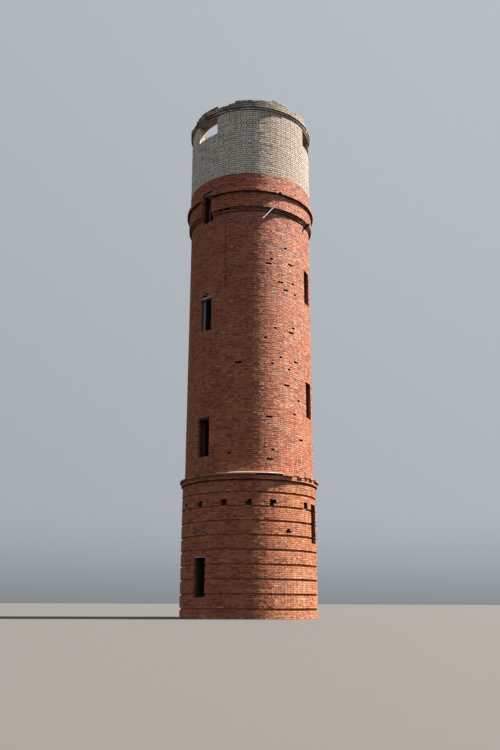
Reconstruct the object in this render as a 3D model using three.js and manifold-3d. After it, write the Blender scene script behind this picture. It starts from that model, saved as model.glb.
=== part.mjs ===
// Brick water tower: a round hollow shaft of red brick on a thicker base storey, with a
// corbelled frieze and a grey brick tank storey whose roof and tank are gone.
// Millimetres, +Z up. The origin is the centre of the tower at ground level.
// Azimuths are degrees round the tower: 0 faces -Y, and they grow towards +X.

import * as THREE from 'three';
import { mergeVertices } from 'three/addons/utils/BufferGeometryUtils.js';
import Module from 'manifold-3d';

const wasm = await Module();
wasm.setup();

// Masonry courses
const RED_COURSE = 75;
const GREY_COURSE = 100;
const FACET = 6;
const CORNER_CLEAR = 0.02;
const GAP = 0.3;
const CUT_CLEAR = 50;

// Heights above the ground
const BASE_TOP = 67 * RED_COURSE;
const BELT_TOP = BASE_TOP + 3 * RED_COURSE;
const SHAFT_TOP = BELT_TOP + 147 * RED_COURSE;
const CORBEL_TOP = SHAFT_TOP + 2 * RED_COURSE;
const FRIEZE_TOP = CORBEL_TOP + 9 * RED_COURSE;
const STRING_TOP = FRIEZE_TOP + 2 * RED_COURSE;
const LEDGE_TOP = STRING_TOP + 4 * RED_COURSE;
const RED_TOP = STRING_TOP + 10 * RED_COURSE;
const HOLE_SILL = RED_TOP + 22 * GREY_COURSE;
const HOLE_HEAD = HOLE_SILL + 8 * GREY_COURSE;
const CORNICE_BOTTOM = HOLE_HEAD + GREY_COURSE;

// Outer radii, from the ground up
const BASE_R = 2700;
const BELT_R = 2760;
const BELT_LIP_R = 2820;
const SHAFT_R = 2620;
const CORBEL_LOW_R = 2658;
const CORBEL_HIGH_R = 2696;
const FRIEZE_R = 2734;
const STRING_R = 2830;
const TANK_R = 2684;
const CORNICE_R = 2735;
const PARAPET_R = 2790;

// Wall thicknesses
const BASE_IN = BASE_R - 640;
const SHAFT_IN = SHAFT_R - 510;
const TANK_IN = TANK_R - 380;

// Recessed courses round the base, every seventh one
const GROOVE_DEPTH = 50;
const GROOVE_FIRST = 4 * RED_COURSE;
const GROOVE_STEP = 7 * RED_COURSE;
const GROOVE_COUNT = 9;

// Windows and the doorway: azimuth, sill and head
const WINDOW_WIDTH = 600;
const DOOR_WIDTH = 900;
const DOOR_HEAD = 28 * RED_COURSE;
const LEFT = -43.5;
const RIGHT = 67.5;
const BASE_RIGHT = 69.5;
const REAR = 180;
const LEFT_WINDOWS = [[750, 2250], [6000, 7575], [11175, 12675], [16050, 17475]];
const RIGHT_WINDOWS = [[2775, 4275], [7725, 9225], [12675, 14175]];
const REAR_WINDOWS = [[9450, 10950]];

// Square holes left by beams, just above the eighth recessed course. Those in the panels
// by the windows lie within POCKET_CLEAR of the window's azimuth.
const POCKET = { width: 260, depth: 250, bottom: 54 * RED_COURSE, height: 3 * RED_COURSE };
const POCKET_CLEAR = 6;
const POCKET_AZIMUTHS = [-65.4, -44.2, -20.7, -0.5, 19.5, 54, 92, 114, 136, 158, 216, 238, 260];

// Wide openings of the tank storey
const HOLE_AZIMUTHS = [-45, 72.5, 193.5];
const HOLE_WIDTH = 1150;
const LINTEL_BEARING = 150;

// The top of the parapet as it stands today: each height runs on to the next azimuth
const PARAPET_STEPS = [
  [-60, 21400], [-57, 21450], [-53, 21500], [-30, 21400], [-14, 21500], [13, 21600],
  [17.5, 21500], [19, 21650], [25, 21600], [36, 21500], [38, 21400], [48, 21500],
  [60, 21400], [63, 21300], [88, 21500], [118, 21400], [131, 21500], [150, 21600],
  [166, 21300], [210, 21400], [228, 21500], [252, 21400], [266, 21500], [284, 21300], [300, 21400],
];
const PARAPET_JOINTS = [-120, 0, 120];
const JOINT_CLEAR = 1;

// The belt: its joints, and where its top course has fallen away
const BELT_JOINTS = [-62, 29, 150];
const BELT_BITES = [[29.5, 34], [36.5, 44], [46, 52], [55, 61], [64, 70], [118, 127]];
const BELT_BITE_R = 2708;
const CAP_RANGES = [[-62, 29], [186, 262]];
const CAP = { edge: 2830, low: 30, high: 50 };

// Floors
const FLOOR_THICKNESS = 120;
const TANK_FLOOR_THICKNESS = 200;

// Timber frames left in the windows of the left column: how far back each one sits
const FRAME = { post: 70, depth: 80, board: 60, boardSetback: 8 };
const FRAME_SETBACKS = [150, 230, 140, 330];

// A bent pipe and an iron bracket left under the frieze. Each sits on one facet of the wall.
const PIPE = { azimuth: 21, z: 16440, boss: 44, reach: 60, radius: 16, knob: 27, knobLength: 45 };
const PIPE_END = { azimuth: 11.4, radius: 2850, z: 15850 };
const BAR_SIDES = 8;
const BRACKET = { azimuth: 63, z: 16205, plate: 120, thick: 14, bar: 32, reach: 235, drop: 130 };

const RED_BRICK = new THREE.MeshStandardMaterial({ color: 0x8f5140, roughness: 0.92, metalness: 0 });
const GREY_BRICK = new THREE.MeshStandardMaterial({ color: 0xb3aa9a, roughness: 0.93, metalness: 0 });
const CEMENT = new THREE.MeshStandardMaterial({ color: 0xb9b2a4, roughness: 0.9, metalness: 0 });
const CONCRETE = new THREE.MeshStandardMaterial({ color: 0x8d867b, roughness: 0.9, metalness: 0 });
const TIMBER = new THREE.MeshStandardMaterial({ color: 0x9a958c, roughness: 0.85, metalness: 0 });
const IRON = new THREE.MeshStandardMaterial({ color: 0x4a3f3a, roughness: 0.75, metalness: 0.6 });
const PALE_PAINT = new THREE.MeshStandardMaterial({ color: 0xd6d2c8, roughness: 0.5, metalness: 0 });

const tower = new THREE.Group();

function radians(degrees) {
  return THREE.MathUtils.degToRad(degrees);
}

function place(name, geometry, material) {
  const mesh = new THREE.Mesh(geometry, material);
  mesh.name = name;
  tower.add(mesh);
}

// A cut is a vertical plane through the masonry, parallel to the line from the axis out to
// its azimuth and offset sideways from it: a jamb, or half a joint between two segments.
function jamb(azimuth, offset) {
  return { azimuth, offset };
}

function joint(azimuth, side) {
  return { azimuth, offset: side * GAP / 2 };
}

function cutAngle(cut, radius) {
  return cut.azimuth + THREE.MathUtils.radToDeg(Math.asin(cut.offset / radius));
}

// Where a cut meets the facet of the tower's many-sided plan, at one radius
function cutPoint(cut, radius) {
  const facet = (Math.floor(cutAngle(cut, radius) / FACET) + 0.5) * FACET;
  const turn = radians(facet - cut.azimuth);
  const along = (radius * Math.cos(radians(FACET / 2)) - cut.offset * Math.sin(turn)) / Math.cos(turn);
  const azimuth = radians(cut.azimuth);
  return [
    along * Math.sin(azimuth) + cut.offset * Math.cos(azimuth),
    cut.offset * Math.sin(azimuth) - along * Math.cos(azimuth),
  ];
}

function cornerPoint(degrees, radius) {
  return [radius * Math.sin(radians(degrees)), -radius * Math.cos(radians(degrees))];
}

// A corner of the plan, or the nearer cut where the corner lies past it at this radius
function stationPoint(corner, radius, from, to) {
  if (corner < cutAngle(from, radius) + CORNER_CLEAR) {
    return cutPoint(from, radius);
  }
  if (corner > cutAngle(to, radius) - CORNER_CLEAR) {
    return cutPoint(to, radius);
  }
  return cornerPoint(corner, radius);
}

// A segment of round masonry between two cuts. The outline lists radius and height
// anticlockwise. The lathe gives the closed skin, its stations are slid round to the cuts
// and to the corners between them, and the same outline closes the ends.
function segment(outline, from, to) {
  const points = outline.map(([radius, z]) => new THREE.Vector2(radius, z));
  const radii = outline.map(([radius]) => radius);
  const start = Math.min(...radii.map((radius) => cutAngle(from, radius)));
  const end = Math.max(...radii.map((radius) => cutAngle(to, radius)));
  const corners = [start];
  for (let corner = Math.ceil(start / FACET) * FACET; corner < end; corner += FACET) {
    corners.push(corner);
  }
  corners.push(end);
  const skin = new THREE.LatheGeometry([...points, points[0]], corners.length - 1, 0, Math.PI);
  skin.deleteAttribute('normal');
  skin.deleteAttribute('uv');
  const position = skin.getAttribute('position');
  const row = points.length + 1;
  for (let i = 0; i < position.count; i += 1) {
    const point = points[(i % row) % points.length];
    const [x, y] = stationPoint(corners[Math.floor(i / row)], point.x, from, to);
    position.setXYZ(i, x, y, point.y);
  }
  const faces = [...skin.index.array];
  const last = (corners.length - 1) * row;
  for (const [a, b, c] of THREE.ShapeUtils.triangulateShape(points, [])) {
    faces.push(a, b, c, last + c, last + b, last + a);
  }
  skin.setIndex(faces);
  return withoutFlatFaces(mergeVertices(skin, 1e-4));
}

// Stations that meet on a cut leave faces with two corners in one place, which are dropped
function withoutFlatFaces(geometry) {
  const index = geometry.index.array;
  const kept = [];
  for (let i = 0; i < index.length; i += 3) {
    const [a, b, c] = index.slice(i, i + 3);
    if (a !== b && b !== c && c !== a) {
      kept.push(a, b, c);
    }
  }
  geometry.setIndex(kept);
  return geometry;
}

function band(inner, outer, bottom, top) {
  return [[inner, bottom], [outer, bottom], [outer, top], [inner, top]];
}

function solid(geometry) {
  const closed = geometry.clone();
  closed.deleteAttribute('normal');
  closed.deleteAttribute('uv');
  const merged = mergeVertices(closed, 1e-4);
  const mesh = new wasm.Mesh({
    numProp: 3,
    vertProperties: new Float32Array(merged.getAttribute('position').array),
    triVerts: new Uint32Array(merged.index.array),
  });
  return new wasm.Manifold(mesh);
}

function geometryOf(manifold) {
  const mesh = manifold.getMesh();
  const geometry = new THREE.BufferGeometry();
  geometry.setAttribute('position', new THREE.BufferAttribute(mesh.vertProperties, 3));
  geometry.setIndex(new THREE.BufferAttribute(mesh.triVerts, 1));
  return geometry;
}

function carve(geometry, cutters) {
  return geometryOf(cutters.reduce((left, cutter) => left.subtract(solid(cutter)), solid(geometry)));
}

function join(geometries) {
  return geometryOf(geometries.map(solid).reduce((sum, part) => sum.add(part)));
}

// A box that stands on the tower's side: width across, from one radius out to another
function blockAt(azimuth, width, inner, outer, bottom, top, across = 0) {
  const box = new THREE.BoxGeometry(width, outer - inner, top - bottom);
  box.translate(across, -(inner + outer) / 2, (bottom + top) / 2);
  return box.rotateZ(radians(azimuth));
}

// Base storey
function baseOutline(bottom, top) {
  const outline = [[BASE_IN, bottom], [BASE_R, bottom]];
  for (let i = 0; i < GROOVE_COUNT; i += 1) {
    const low = GROOVE_FIRST + i * GROOVE_STEP;
    const high = low + RED_COURSE;
    if (low > bottom && high < top) {
      outline.push([BASE_R, low], [BASE_R - GROOVE_DEPTH, low]);
      outline.push([BASE_R - GROOVE_DEPTH, high], [BASE_R, high]);
    }
  }
  outline.push([BASE_R, top], [BASE_IN, top]);
  return outline;
}

function isBetween(azimuth, from, to) {
  const turned = THREE.MathUtils.euclideanModulo(azimuth - from, 360);
  return turned > 0 && turned < to - from;
}

function pocketsBetween(from, to) {
  const inner = BASE_R - POCKET.depth;
  const top = POCKET.bottom + POCKET.height;
  return POCKET_AZIMUTHS.filter((azimuth) => isBetween(azimuth, from, to)).map((azimuth) => (
    blockAt(azimuth, POCKET.width, inner, BASE_R + CUT_CLEAR, POCKET.bottom, top)));
}

function buildBase() {
  const half = WINDOW_WIDTH / 2;
  const doorHalf = DOOR_WIDTH / 2;
  const walls = [
    ['base_wall_front', jamb(LEFT, half), jamb(BASE_RIGHT, -half)],
    ['base_wall_right', jamb(BASE_RIGHT, half), jamb(REAR, -doorHalf)],
    ['base_wall_left', jamb(REAR, doorHalf), jamb(LEFT + 360, -half)],
  ];
  for (const [name, from, to] of walls) {
    const pockets = pocketsBetween(from.azimuth + POCKET_CLEAR, to.azimuth - POCKET_CLEAR);
    place(name, carve(segment(baseOutline(0, BASE_TOP), from, to), pockets), RED_BRICK);
  }
  const panels = [
    ['base_left_window_apron', LEFT, half, 0, LEFT_WINDOWS[0][0]],
    ['base_left_window_head', LEFT, half, LEFT_WINDOWS[0][1], BASE_TOP],
    ['base_right_window_apron', BASE_RIGHT, half, 0, RIGHT_WINDOWS[0][0]],
    ['base_right_window_head', BASE_RIGHT, half, RIGHT_WINDOWS[0][1], BASE_TOP],
    ['doorway_head', REAR, doorHalf, DOOR_HEAD, BASE_TOP],
  ];
  for (const [name, azimuth, width, bottom, top] of panels) {
    const panel = segment(baseOutline(bottom, top), jamb(azimuth, GAP - width), jamb(azimuth, width - GAP));
    const isHead = top > POCKET.bottom;
    const pockets = isHead ? pocketsBetween(azimuth - POCKET_CLEAR, azimuth + POCKET_CLEAR) : [];
    place(name, carve(panel, pockets), RED_BRICK);
  }
}

// Floors share the facets of the walls round them
function disc(radius, bottom, thickness) {
  const floor = new THREE.CylinderGeometry(radius - 2 * GAP, radius - 2 * GAP, thickness, 360 / FACET);
  return floor.rotateX(Math.PI / 2).translate(0, 0, bottom + thickness / 2);
}

// Projecting belt between the base and the shaft
function buildBelt() {
  const outline = [
    [BASE_IN, BASE_TOP], [BELT_R, BASE_TOP], [BELT_R, BELT_TOP - RED_COURSE],
    [BELT_LIP_R, BELT_TOP - RED_COURSE], [BELT_LIP_R, BELT_TOP], [BASE_IN, BELT_TOP],
  ];
  const names = ['belt_front', 'belt_right', 'belt_left'];
  names.forEach((name, i) => {
    const start = BELT_JOINTS[i];
    const end = BELT_JOINTS[i + 1] ?? BELT_JOINTS[0] + 360;
    const bites = BELT_BITES.filter(([from]) => isBetween(from, start, end)).map(([from, to]) => (
      segment(band(BELT_BITE_R, BELT_LIP_R + CUT_CLEAR, BELT_TOP - RED_COURSE, BELT_TOP + CUT_CLEAR),
        joint(from, 1), joint(to, -1))));
    place(name, carve(segment(outline, joint(start, 1), joint(end, -1)), bites), RED_BRICK);
  });
}

// Cement weathering on the ledge of the belt, where it is still there
function buildCaps() {
  const inner = SHAFT_R + GAP;
  const outline = [
    [inner, BELT_TOP], [CAP.edge, BELT_TOP], [CAP.edge, BELT_TOP + CAP.low], [inner, BELT_TOP + CAP.high],
  ];
  CAP_RANGES.forEach(([from, to], i) => {
    place(`belt_cap_${i + 1}`, segment(outline, joint(from, 1), joint(to, -1)), CEMENT);
  });
}

// Shaft
function panelGaps(windows, bottom, top) {
  const inside = windows.filter(([sill]) => sill >= bottom && sill < top);
  const edges = [bottom, ...inside.flat(), top];
  const panels = [];
  for (let i = 0; i + 1 < edges.length; i += 2) {
    if (edges[i] < edges[i + 1]) {
      panels.push([edges[i], edges[i + 1]]);
    }
  }
  return panels;
}

function buildShaft() {
  const half = WINDOW_WIDTH / 2;
  const walls = [
    ['shaft_wall_front', jamb(LEFT, half), jamb(RIGHT, -half)],
    ['shaft_wall_right', jamb(RIGHT, half), jamb(REAR, -half)],
    ['shaft_wall_left', jamb(REAR, half), jamb(LEFT + 360, -half)],
  ];
  for (const [name, from, to] of walls) {
    place(name, segment(band(SHAFT_IN, SHAFT_R, BELT_TOP, SHAFT_TOP), from, to), RED_BRICK);
  }
  const columns = [
    ['left', LEFT, LEFT_WINDOWS],
    ['right', RIGHT, RIGHT_WINDOWS],
    ['rear', REAR, REAR_WINDOWS],
  ];
  for (const [side, azimuth, windows] of columns) {
    panelGaps(windows, BELT_TOP, SHAFT_TOP).forEach(([bottom, top], i) => {
      const outline = band(SHAFT_IN, SHAFT_R, bottom, top);
      const panel = segment(outline, jamb(azimuth, GAP - half), jamb(azimuth, half - GAP));
      place(`shaft_${side}_panel_${i + 1}`, panel, RED_BRICK);
    });
  }
}

// Corbel, frieze, string course and the red wall above them, which thins at the tank floor
function buildFrieze() {
  const half = WINDOW_WIDTH / 2;
  const head = LEFT_WINDOWS[3][1];
  const inside = [[TANK_IN, RED_TOP], [TANK_IN, LEDGE_TOP], [SHAFT_IN, LEDGE_TOP]];
  const outline = [
    [SHAFT_IN, SHAFT_TOP], [CORBEL_LOW_R, SHAFT_TOP], [CORBEL_LOW_R, SHAFT_TOP + RED_COURSE],
    [CORBEL_HIGH_R, SHAFT_TOP + RED_COURSE], [CORBEL_HIGH_R, CORBEL_TOP], [FRIEZE_R, CORBEL_TOP],
    [FRIEZE_R, FRIEZE_TOP], [STRING_R, FRIEZE_TOP], [STRING_R, STRING_TOP], [TANK_R, STRING_TOP],
    [TANK_R, RED_TOP], ...inside,
  ];
  const walls = [
    ['frieze_front', jamb(LEFT, half), joint(RIGHT, -1)],
    ['frieze_right', joint(RIGHT, 1), joint(REAR, -1)],
    ['frieze_left', joint(REAR, 1), jamb(LEFT + 360, -half)],
  ];
  for (const [name, from, to] of walls) {
    place(name, segment(outline, from, to), RED_BRICK);
  }
  const over = [[SHAFT_IN, head], [TANK_R, head], [TANK_R, RED_TOP], ...inside];
  place('frieze_window_head', segment(over, jamb(LEFT, GAP - half), jamb(LEFT, half - GAP)), RED_BRICK);
}

// Tank storey: walls between the wide openings, aprons under them and lintels over them
function buildTankStorey() {
  const half = HOLE_WIDTH / 2;
  const [first, second, third] = HOLE_AZIMUTHS;
  const lintel = (azimuth, spare) => segment(
    band(TANK_IN - spare, TANK_R + spare, HOLE_HEAD - spare, CORNICE_BOTTOM + spare),
    jamb(azimuth, -half - LINTEL_BEARING - spare), jamb(azimuth, half + LINTEL_BEARING + spare));
  const walls = [
    ['tank_wall_front', first, second],
    ['tank_wall_right', second, third],
    ['tank_wall_left', third, first + 360],
  ];
  for (const [name, from, to] of walls) {
    const wall = segment(band(TANK_IN, TANK_R, RED_TOP, CORNICE_BOTTOM), jamb(from, half), jamb(to, -half));
    place(name, carve(wall, [lintel(from, GAP), lintel(to, GAP)]), GREY_BRICK);
  }
  HOLE_AZIMUTHS.forEach((azimuth, i) => {
    const outline = band(TANK_IN, TANK_R, RED_TOP, HOLE_SILL);
    const apron = segment(outline, jamb(azimuth, GAP - half), jamb(azimuth, half - GAP));
    place(`tank_opening_apron_${i + 1}`, apron, GREY_BRICK);
    place(`tank_opening_lintel_${i + 1}`, lintel(azimuth, 0), CONCRETE);
  });
}

// Cornice and the ragged parapet on it: every level is cut away where the top is lower
function buildParapet() {
  const levels = [...new Set(PARAPET_STEPS.map(([, top]) => top))].sort((a, b) => b - a);
  const highest = levels[0];
  const outline = [
    [TANK_IN, CORNICE_BOTTOM], [CORNICE_R, CORNICE_BOTTOM], [CORNICE_R, CORNICE_BOTTOM + GREY_COURSE],
    [PARAPET_R, CORNICE_BOTTOM + GREY_COURSE], [PARAPET_R, highest], [TANK_IN, highest],
  ];
  const names = ['parapet_left', 'parapet_right', 'parapet_rear'];
  names.forEach((name, i) => {
    const start = PARAPET_JOINTS[i];
    const end = PARAPET_JOINTS[i + 1] ?? PARAPET_JOINTS[0] + 360;
    const cutter = (level) => band(TANK_IN - CUT_CLEAR, PARAPET_R + CUT_CLEAR, level, highest + CUT_CLEAR);
    const missing = levels.slice(1).flatMap((level) => lowRanges(level, start, end).map(([from, to]) => (
      segment(cutter(level), jamb(from, 0), jamb(to, 0)))));
    place(name, carve(segment(outline, joint(start, 1), joint(end, -1)), missing), GREY_BRICK);
  });
}

// The stretches between two azimuths, and JOINT_CLEAR past them, where the parapet stands no
// higher than a level
function lowRanges(level, start, end) {
  const ranges = [];
  PARAPET_STEPS.forEach(([azimuth, top], i) => {
    const next = i + 1 < PARAPET_STEPS.length ? PARAPET_STEPS[i + 1][0] : PARAPET_STEPS[0][0] + 360;
    for (const turn of [-360, 0, 360]) {
      const from = Math.max(azimuth + turn, start - JOINT_CLEAR);
      const to = Math.min(next + turn, end + JOINT_CLEAR);
      if (top <= level && from < to) {
        ranges.push([from, to]);
      }
    }
  });
  ranges.sort((a, b) => a[0] - b[0]);
  return ranges.reduce((merged, [from, to]) => {
    const last = merged[merged.length - 1];
    if (last && last[1] === from) {
      last[1] = to;
    } else {
      merged.push([from, to]);
    }
    return merged;
  }, []);
}

// A window's lintel board, reaching from the wall's face back to its posts and sill
function windowFrame([sill, head], radius, setback) {
  const half = WINDOW_WIDTH / 2 - GAP;
  const front = radius * Math.cos(Math.asin(half / radius)) - setback;
  const back = front - FRAME.depth;
  const face = radius * Math.cos(Math.asin(half / radius)) - FRAME.boardSetback;
  const top = head - GAP;
  const bottom = sill + GAP;
  const post = (side) => blockAt(LEFT, FRAME.post, back, front, bottom, top - FRAME.board,
    side * (half - FRAME.post / 2));
  return join([
    blockAt(LEFT, 2 * half, back, face, top - FRAME.board, top),
    post(-1),
    post(1),
    blockAt(LEFT, 2 * half, back, front, bottom, bottom + FRAME.post),
  ]);
}

function buildFrames() {
  const radii = [BASE_R, SHAFT_R, SHAFT_R, SHAFT_R];
  LEFT_WINDOWS.forEach((window, i) => {
    place(`left_window_frame_${i + 1}`, windowFrame(window, radii[i], FRAME_SETBACKS[i]), TIMBER);
  });
}

// A straight bar with a many-sided section
function bar(from, to, radius) {
  const circle = new THREE.EllipseCurve(0, 0, radius, radius);
  const section = new THREE.Shape(circle.getPoints(BAR_SIDES).slice(1));
  return new THREE.ExtrudeGeometry(section, { steps: 1, extrudePath: new THREE.LineCurve3(from, to) });
}

function spot(azimuth, radius, z) {
  return new THREE.Vector3(...cornerPoint(azimuth, radius), z);
}

function facetFace(radius) {
  return radius * Math.cos(radians(FACET / 2)) + GAP;
}

function buildPipe() {
  const face = facetFace(FRIEZE_R);
  const half = PIPE.boss / 2;
  const start = spot(PIPE.azimuth, face + PIPE.reach - half, PIPE.z);
  const end = spot(PIPE_END.azimuth, PIPE_END.radius, PIPE_END.z);
  const knob = end.clone().sub(start).setLength(PIPE.knobLength).add(end);
  place('bent_pipe', join([
    blockAt(PIPE.azimuth, PIPE.boss, face, face + PIPE.reach, PIPE.z - half, PIPE.z + half),
    bar(start, end, PIPE.radius),
    bar(end, knob, PIPE.knob),
  ]), PALE_PAINT);
}

function buildBracket() {
  const face = facetFace(SHAFT_R);
  const { azimuth, z, plate, thick, bar: width, reach, drop } = BRACKET;
  const end = face + reach;
  place('iron_bracket', join([
    blockAt(azimuth, plate, face, face + thick, z - plate / 2, z + plate / 2),
    blockAt(azimuth, width, face + thick / 2, end, z - width / 2, z + width / 2),
    blockAt(azimuth, width, end - width, end, z - drop, z),
  ]), IRON);
}

buildBase();
place('ground_floor', disc(BASE_IN, 0, FLOOR_THICKNESS), CONCRETE);
buildBelt();
buildCaps();
buildShaft();
buildFrieze();
place('tank_floor', disc(TANK_IN, LEDGE_TOP, TANK_FLOOR_THICKNESS), CONCRETE);
buildTankStorey();
buildParapet();
buildFrames();
buildPipe();
buildBracket();

export default tower;
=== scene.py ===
"""A round brick water tower: its brickwork, mortar, cement, timber and iron, around its solids.

Metres, +Z up. Azimuths are degrees round the tower: 0 faces -Y, and they grow towards +X.
"""

import math
from collections import namedtuple
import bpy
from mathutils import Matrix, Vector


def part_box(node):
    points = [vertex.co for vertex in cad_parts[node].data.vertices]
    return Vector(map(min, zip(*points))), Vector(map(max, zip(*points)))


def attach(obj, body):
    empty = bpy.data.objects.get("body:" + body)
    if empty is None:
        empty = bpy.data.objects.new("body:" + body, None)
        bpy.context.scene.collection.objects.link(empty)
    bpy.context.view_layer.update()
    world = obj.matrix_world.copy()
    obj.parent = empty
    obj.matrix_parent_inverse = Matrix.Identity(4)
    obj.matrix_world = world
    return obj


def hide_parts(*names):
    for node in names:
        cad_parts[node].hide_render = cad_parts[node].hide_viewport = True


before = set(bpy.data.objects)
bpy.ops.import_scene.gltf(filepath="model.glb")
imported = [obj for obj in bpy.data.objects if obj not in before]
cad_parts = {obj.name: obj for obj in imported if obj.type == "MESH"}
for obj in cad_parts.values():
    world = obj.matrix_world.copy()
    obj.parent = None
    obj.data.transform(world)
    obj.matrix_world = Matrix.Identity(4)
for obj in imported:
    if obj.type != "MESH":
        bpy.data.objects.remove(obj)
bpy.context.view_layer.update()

from types import SimpleNamespace

import bmesh
import bpy
import numpy as np
from mathutils import Euler, Quaternion, Vector

bl_info = {
    "name": "Brick water tower",
    "version": (1, 0, 0),
    "blender": (4, 5, 0),
    "location": "3D View > Sidebar > Tower",
    "description": "Lays the brickwork and the finishes of a round brick water tower",
    "category": "Add Mesh",
}

# Heights nearer to each other than this are one
CLOSE = 1e-4

# Courses and bricks
RED_COURSE = 0.075
GREY_COURSE = 0.1
BRICK_LENGTH = 0.25
BRICK_WIDTH = 0.12
BOND_STEP = 0.26
SHORTEST = 0.06
SHORTEST_RISE = 0.04
SLIVER_JOINTS = 3
TAPER = 0.003
REVEAL_DEPTH = 0.1

# Heights
BASE_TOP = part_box("base_wall_front")[1].z
LIP_BOTTOM = BASE_TOP + 2 * RED_COURSE
BELT_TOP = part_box("belt_front")[1].z
SHAFT_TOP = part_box("shaft_wall_front")[1].z
CORBEL_TOP = SHAFT_TOP + 2 * RED_COURSE
STRING_BOTTOM = CORBEL_TOP + 9 * RED_COURSE
STRING_TOP = STRING_BOTTOM + 2 * RED_COURSE
TANK_FLOOR_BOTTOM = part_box("tank_floor")[0].z
TANK_FLOOR_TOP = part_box("tank_floor")[1].z
RED_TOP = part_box("frieze_front")[1].z
HOLE_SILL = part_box("tank_opening_apron_1")[1].z
HOLE_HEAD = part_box("tank_opening_lintel_1")[0].z
CORNICE_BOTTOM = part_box("parapet_left")[0].z
CORNICE_TOP = CORNICE_BOTTOM + GREY_COURSE
CROWN_TOP = CORNICE_TOP + 5 * GREY_COURSE

# Radii of the brick faces
BASE_R = 2.7
GROOVE_R = 2.65
BELT_R = 2.76
BELT_LIP_R = 2.82
SHAFT_R = 2.62
CORBEL_LOW_R = 2.658
CORBEL_HIGH_R = 2.696
FRIEZE_R = 2.734
STRING_R = 2.83
TANK_R = 2.684
CORNICE_R = 2.722
PARAPET_R = 2.765
BASE_IN = 2.06
SHAFT_IN = 2.11
TANK_IN = 2.304

# Bands of courses from the ground up: bottom, top, height of a course and radius
BANDS = (
    (0, BASE_TOP, RED_COURSE, BASE_R),
    (BASE_TOP, LIP_BOTTOM, RED_COURSE, BELT_R),
    (LIP_BOTTOM, BELT_TOP, RED_COURSE, BELT_LIP_R),
    (BELT_TOP, SHAFT_TOP, RED_COURSE, SHAFT_R),
    (SHAFT_TOP, SHAFT_TOP + RED_COURSE, RED_COURSE, CORBEL_LOW_R),
    (SHAFT_TOP + RED_COURSE, CORBEL_TOP, RED_COURSE, CORBEL_HIGH_R),
    (CORBEL_TOP, STRING_BOTTOM, RED_COURSE, FRIEZE_R),
    (STRING_BOTTOM, STRING_TOP, RED_COURSE, STRING_R),
    (STRING_TOP, RED_TOP, RED_COURSE, TANK_R),
    (RED_TOP, CORNICE_BOTTOM, GREY_COURSE, TANK_R),
    (CORNICE_BOTTOM, CORNICE_TOP, GREY_COURSE, CORNICE_R),
    (CORNICE_TOP, CROWN_TOP, GREY_COURSE, PARAPET_R),
)

# Recessed courses of the base, by their number from the ground
GROOVES = range(4, 67, 7)

# How far bricks stray along a course, in degrees: red and grey courses, and single joints
RED_DRIFT = 0.25
GREY_DRIFT = 0.6
JOINT_STRAY = 0.05

# Wear of single bricks: how far faces stand out or back, their spalls, edges and chips
PROUD_LIMITS = (-0.006, 0.004)
FACE_LIMITS = (-0.0055, 0.006)
SPALL_DEPTHS = (0.001, 0.004)
SPALL_TILT = 0.003
EDGE_WEAR = 0.0016
CHIP_SIZES = (0.008, 0.022)
CHIP_RISE = 0.02
CORNER_STRAY = 0.0006

# Openings: azimuth, half width, and sill and head heights
LEFT = -43.5
RIGHT = 67.5
BASE_RIGHT = 69.5
REAR = 180.0
HOLES = (-45.0, 72.5, 193.5)
WINDOW_HALF = 0.3
DOOR_HALF = 0.45
DOOR_HEAD = 2.1
HOLE_HALF = 0.575
LEFT_WINDOWS = ((0.75, 2.25), (6.0, 7.575), (11.175, 12.675), (16.05, 17.475))
RIGHT_WINDOWS = ((7.725, 9.225), (12.675, 14.175))
BASE_RIGHT_WINDOW = (2.775, 4.275)
REAR_WINDOW = (9.45, 10.95)
SHAFT_LIFTS = 3
LINTEL_HALF = 0.725

# Square holes left by beams. Some have lost the corner of a course and are narrower there.
POCKET_HALF = 0.13
POCKET_LOW = 4.05
POCKET_ROWS = 3
POCKET_DEPTH = 0.25
RAGGED_HALF = POCKET_HALF * 0.62
RAGGED_SHIFT = 1.2
POCKETS = (-65.4, -44.2, -20.7, -0.5, 19.5, 54, 92, 114, 136, 158, 216, 238, 260)

# Bricks that are missing from the side in view: azimuth and height
MISSING = (
    (-27.2, 16.38), (-20.6, 16.38), (-22.5, 16.38), (34.9, 14.71), (19.6, 14.11), (19.6, 13.89),
    (25.9, 13.18), (35.1, 12.86), (43.8, 13.23), (14.3, 10.7), (27.5, 9.92), (20.2, 9.61), (-8.3, 9.62),
    (37.2, 9.46), (33.4, 8.84), (15.6, 7.46), (44.3, 7.66), (51.3, 6.7), (19.1, 6.17),
    (18.5, 5.78), (32.6, 3.1), (33.6, 3.17), (41.7, 11.27), (23.5, 11.17), (-37.8, 10.21),
    (-45, 12.71), (-42, 12.71), (-43.5, 12.78), (43.8, 13.26), (41.3, 14.08), (44.4, 12.78),
    (42.3, 11.05), (45.7, 9.84), (48.2, 8.3), (-36, 9.11), (-17, 6.02), (-11.1, 9.62),
    (25.8, 17.13), (25.8, 17.21),
)
MISSING_DEPTH = 0.13
HOLE_DEPTH = 0.07
UNSEEN = (88.0, 275.0)
UNSEEN_MISSING = 0.0022

# Open upright joints high in the grey wall, and half their width in degrees
WEEP_Z = 20.45
WEEP_FROM = -10.0
WEEP_TO = 16.0
WEEP_HALF = 0.2
WEEP_DEPTH = 0.06

# The belt's joints, the bites out of its top course, and the cement that is left on it
BELT_JOINTS = (-62, 29, 150, 298)
BELT_BITES = ((4.2, 28.5), (29.5, 34), (36.5, 44), (46, 52), (55, 61), (64, 70), (118, 127))
BITE_R = 2.66
CAP_RANGES = ((-62, 29), (186, 262))
CAP_STEP = 0.5
CAP_EDGE = 2.826

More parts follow.
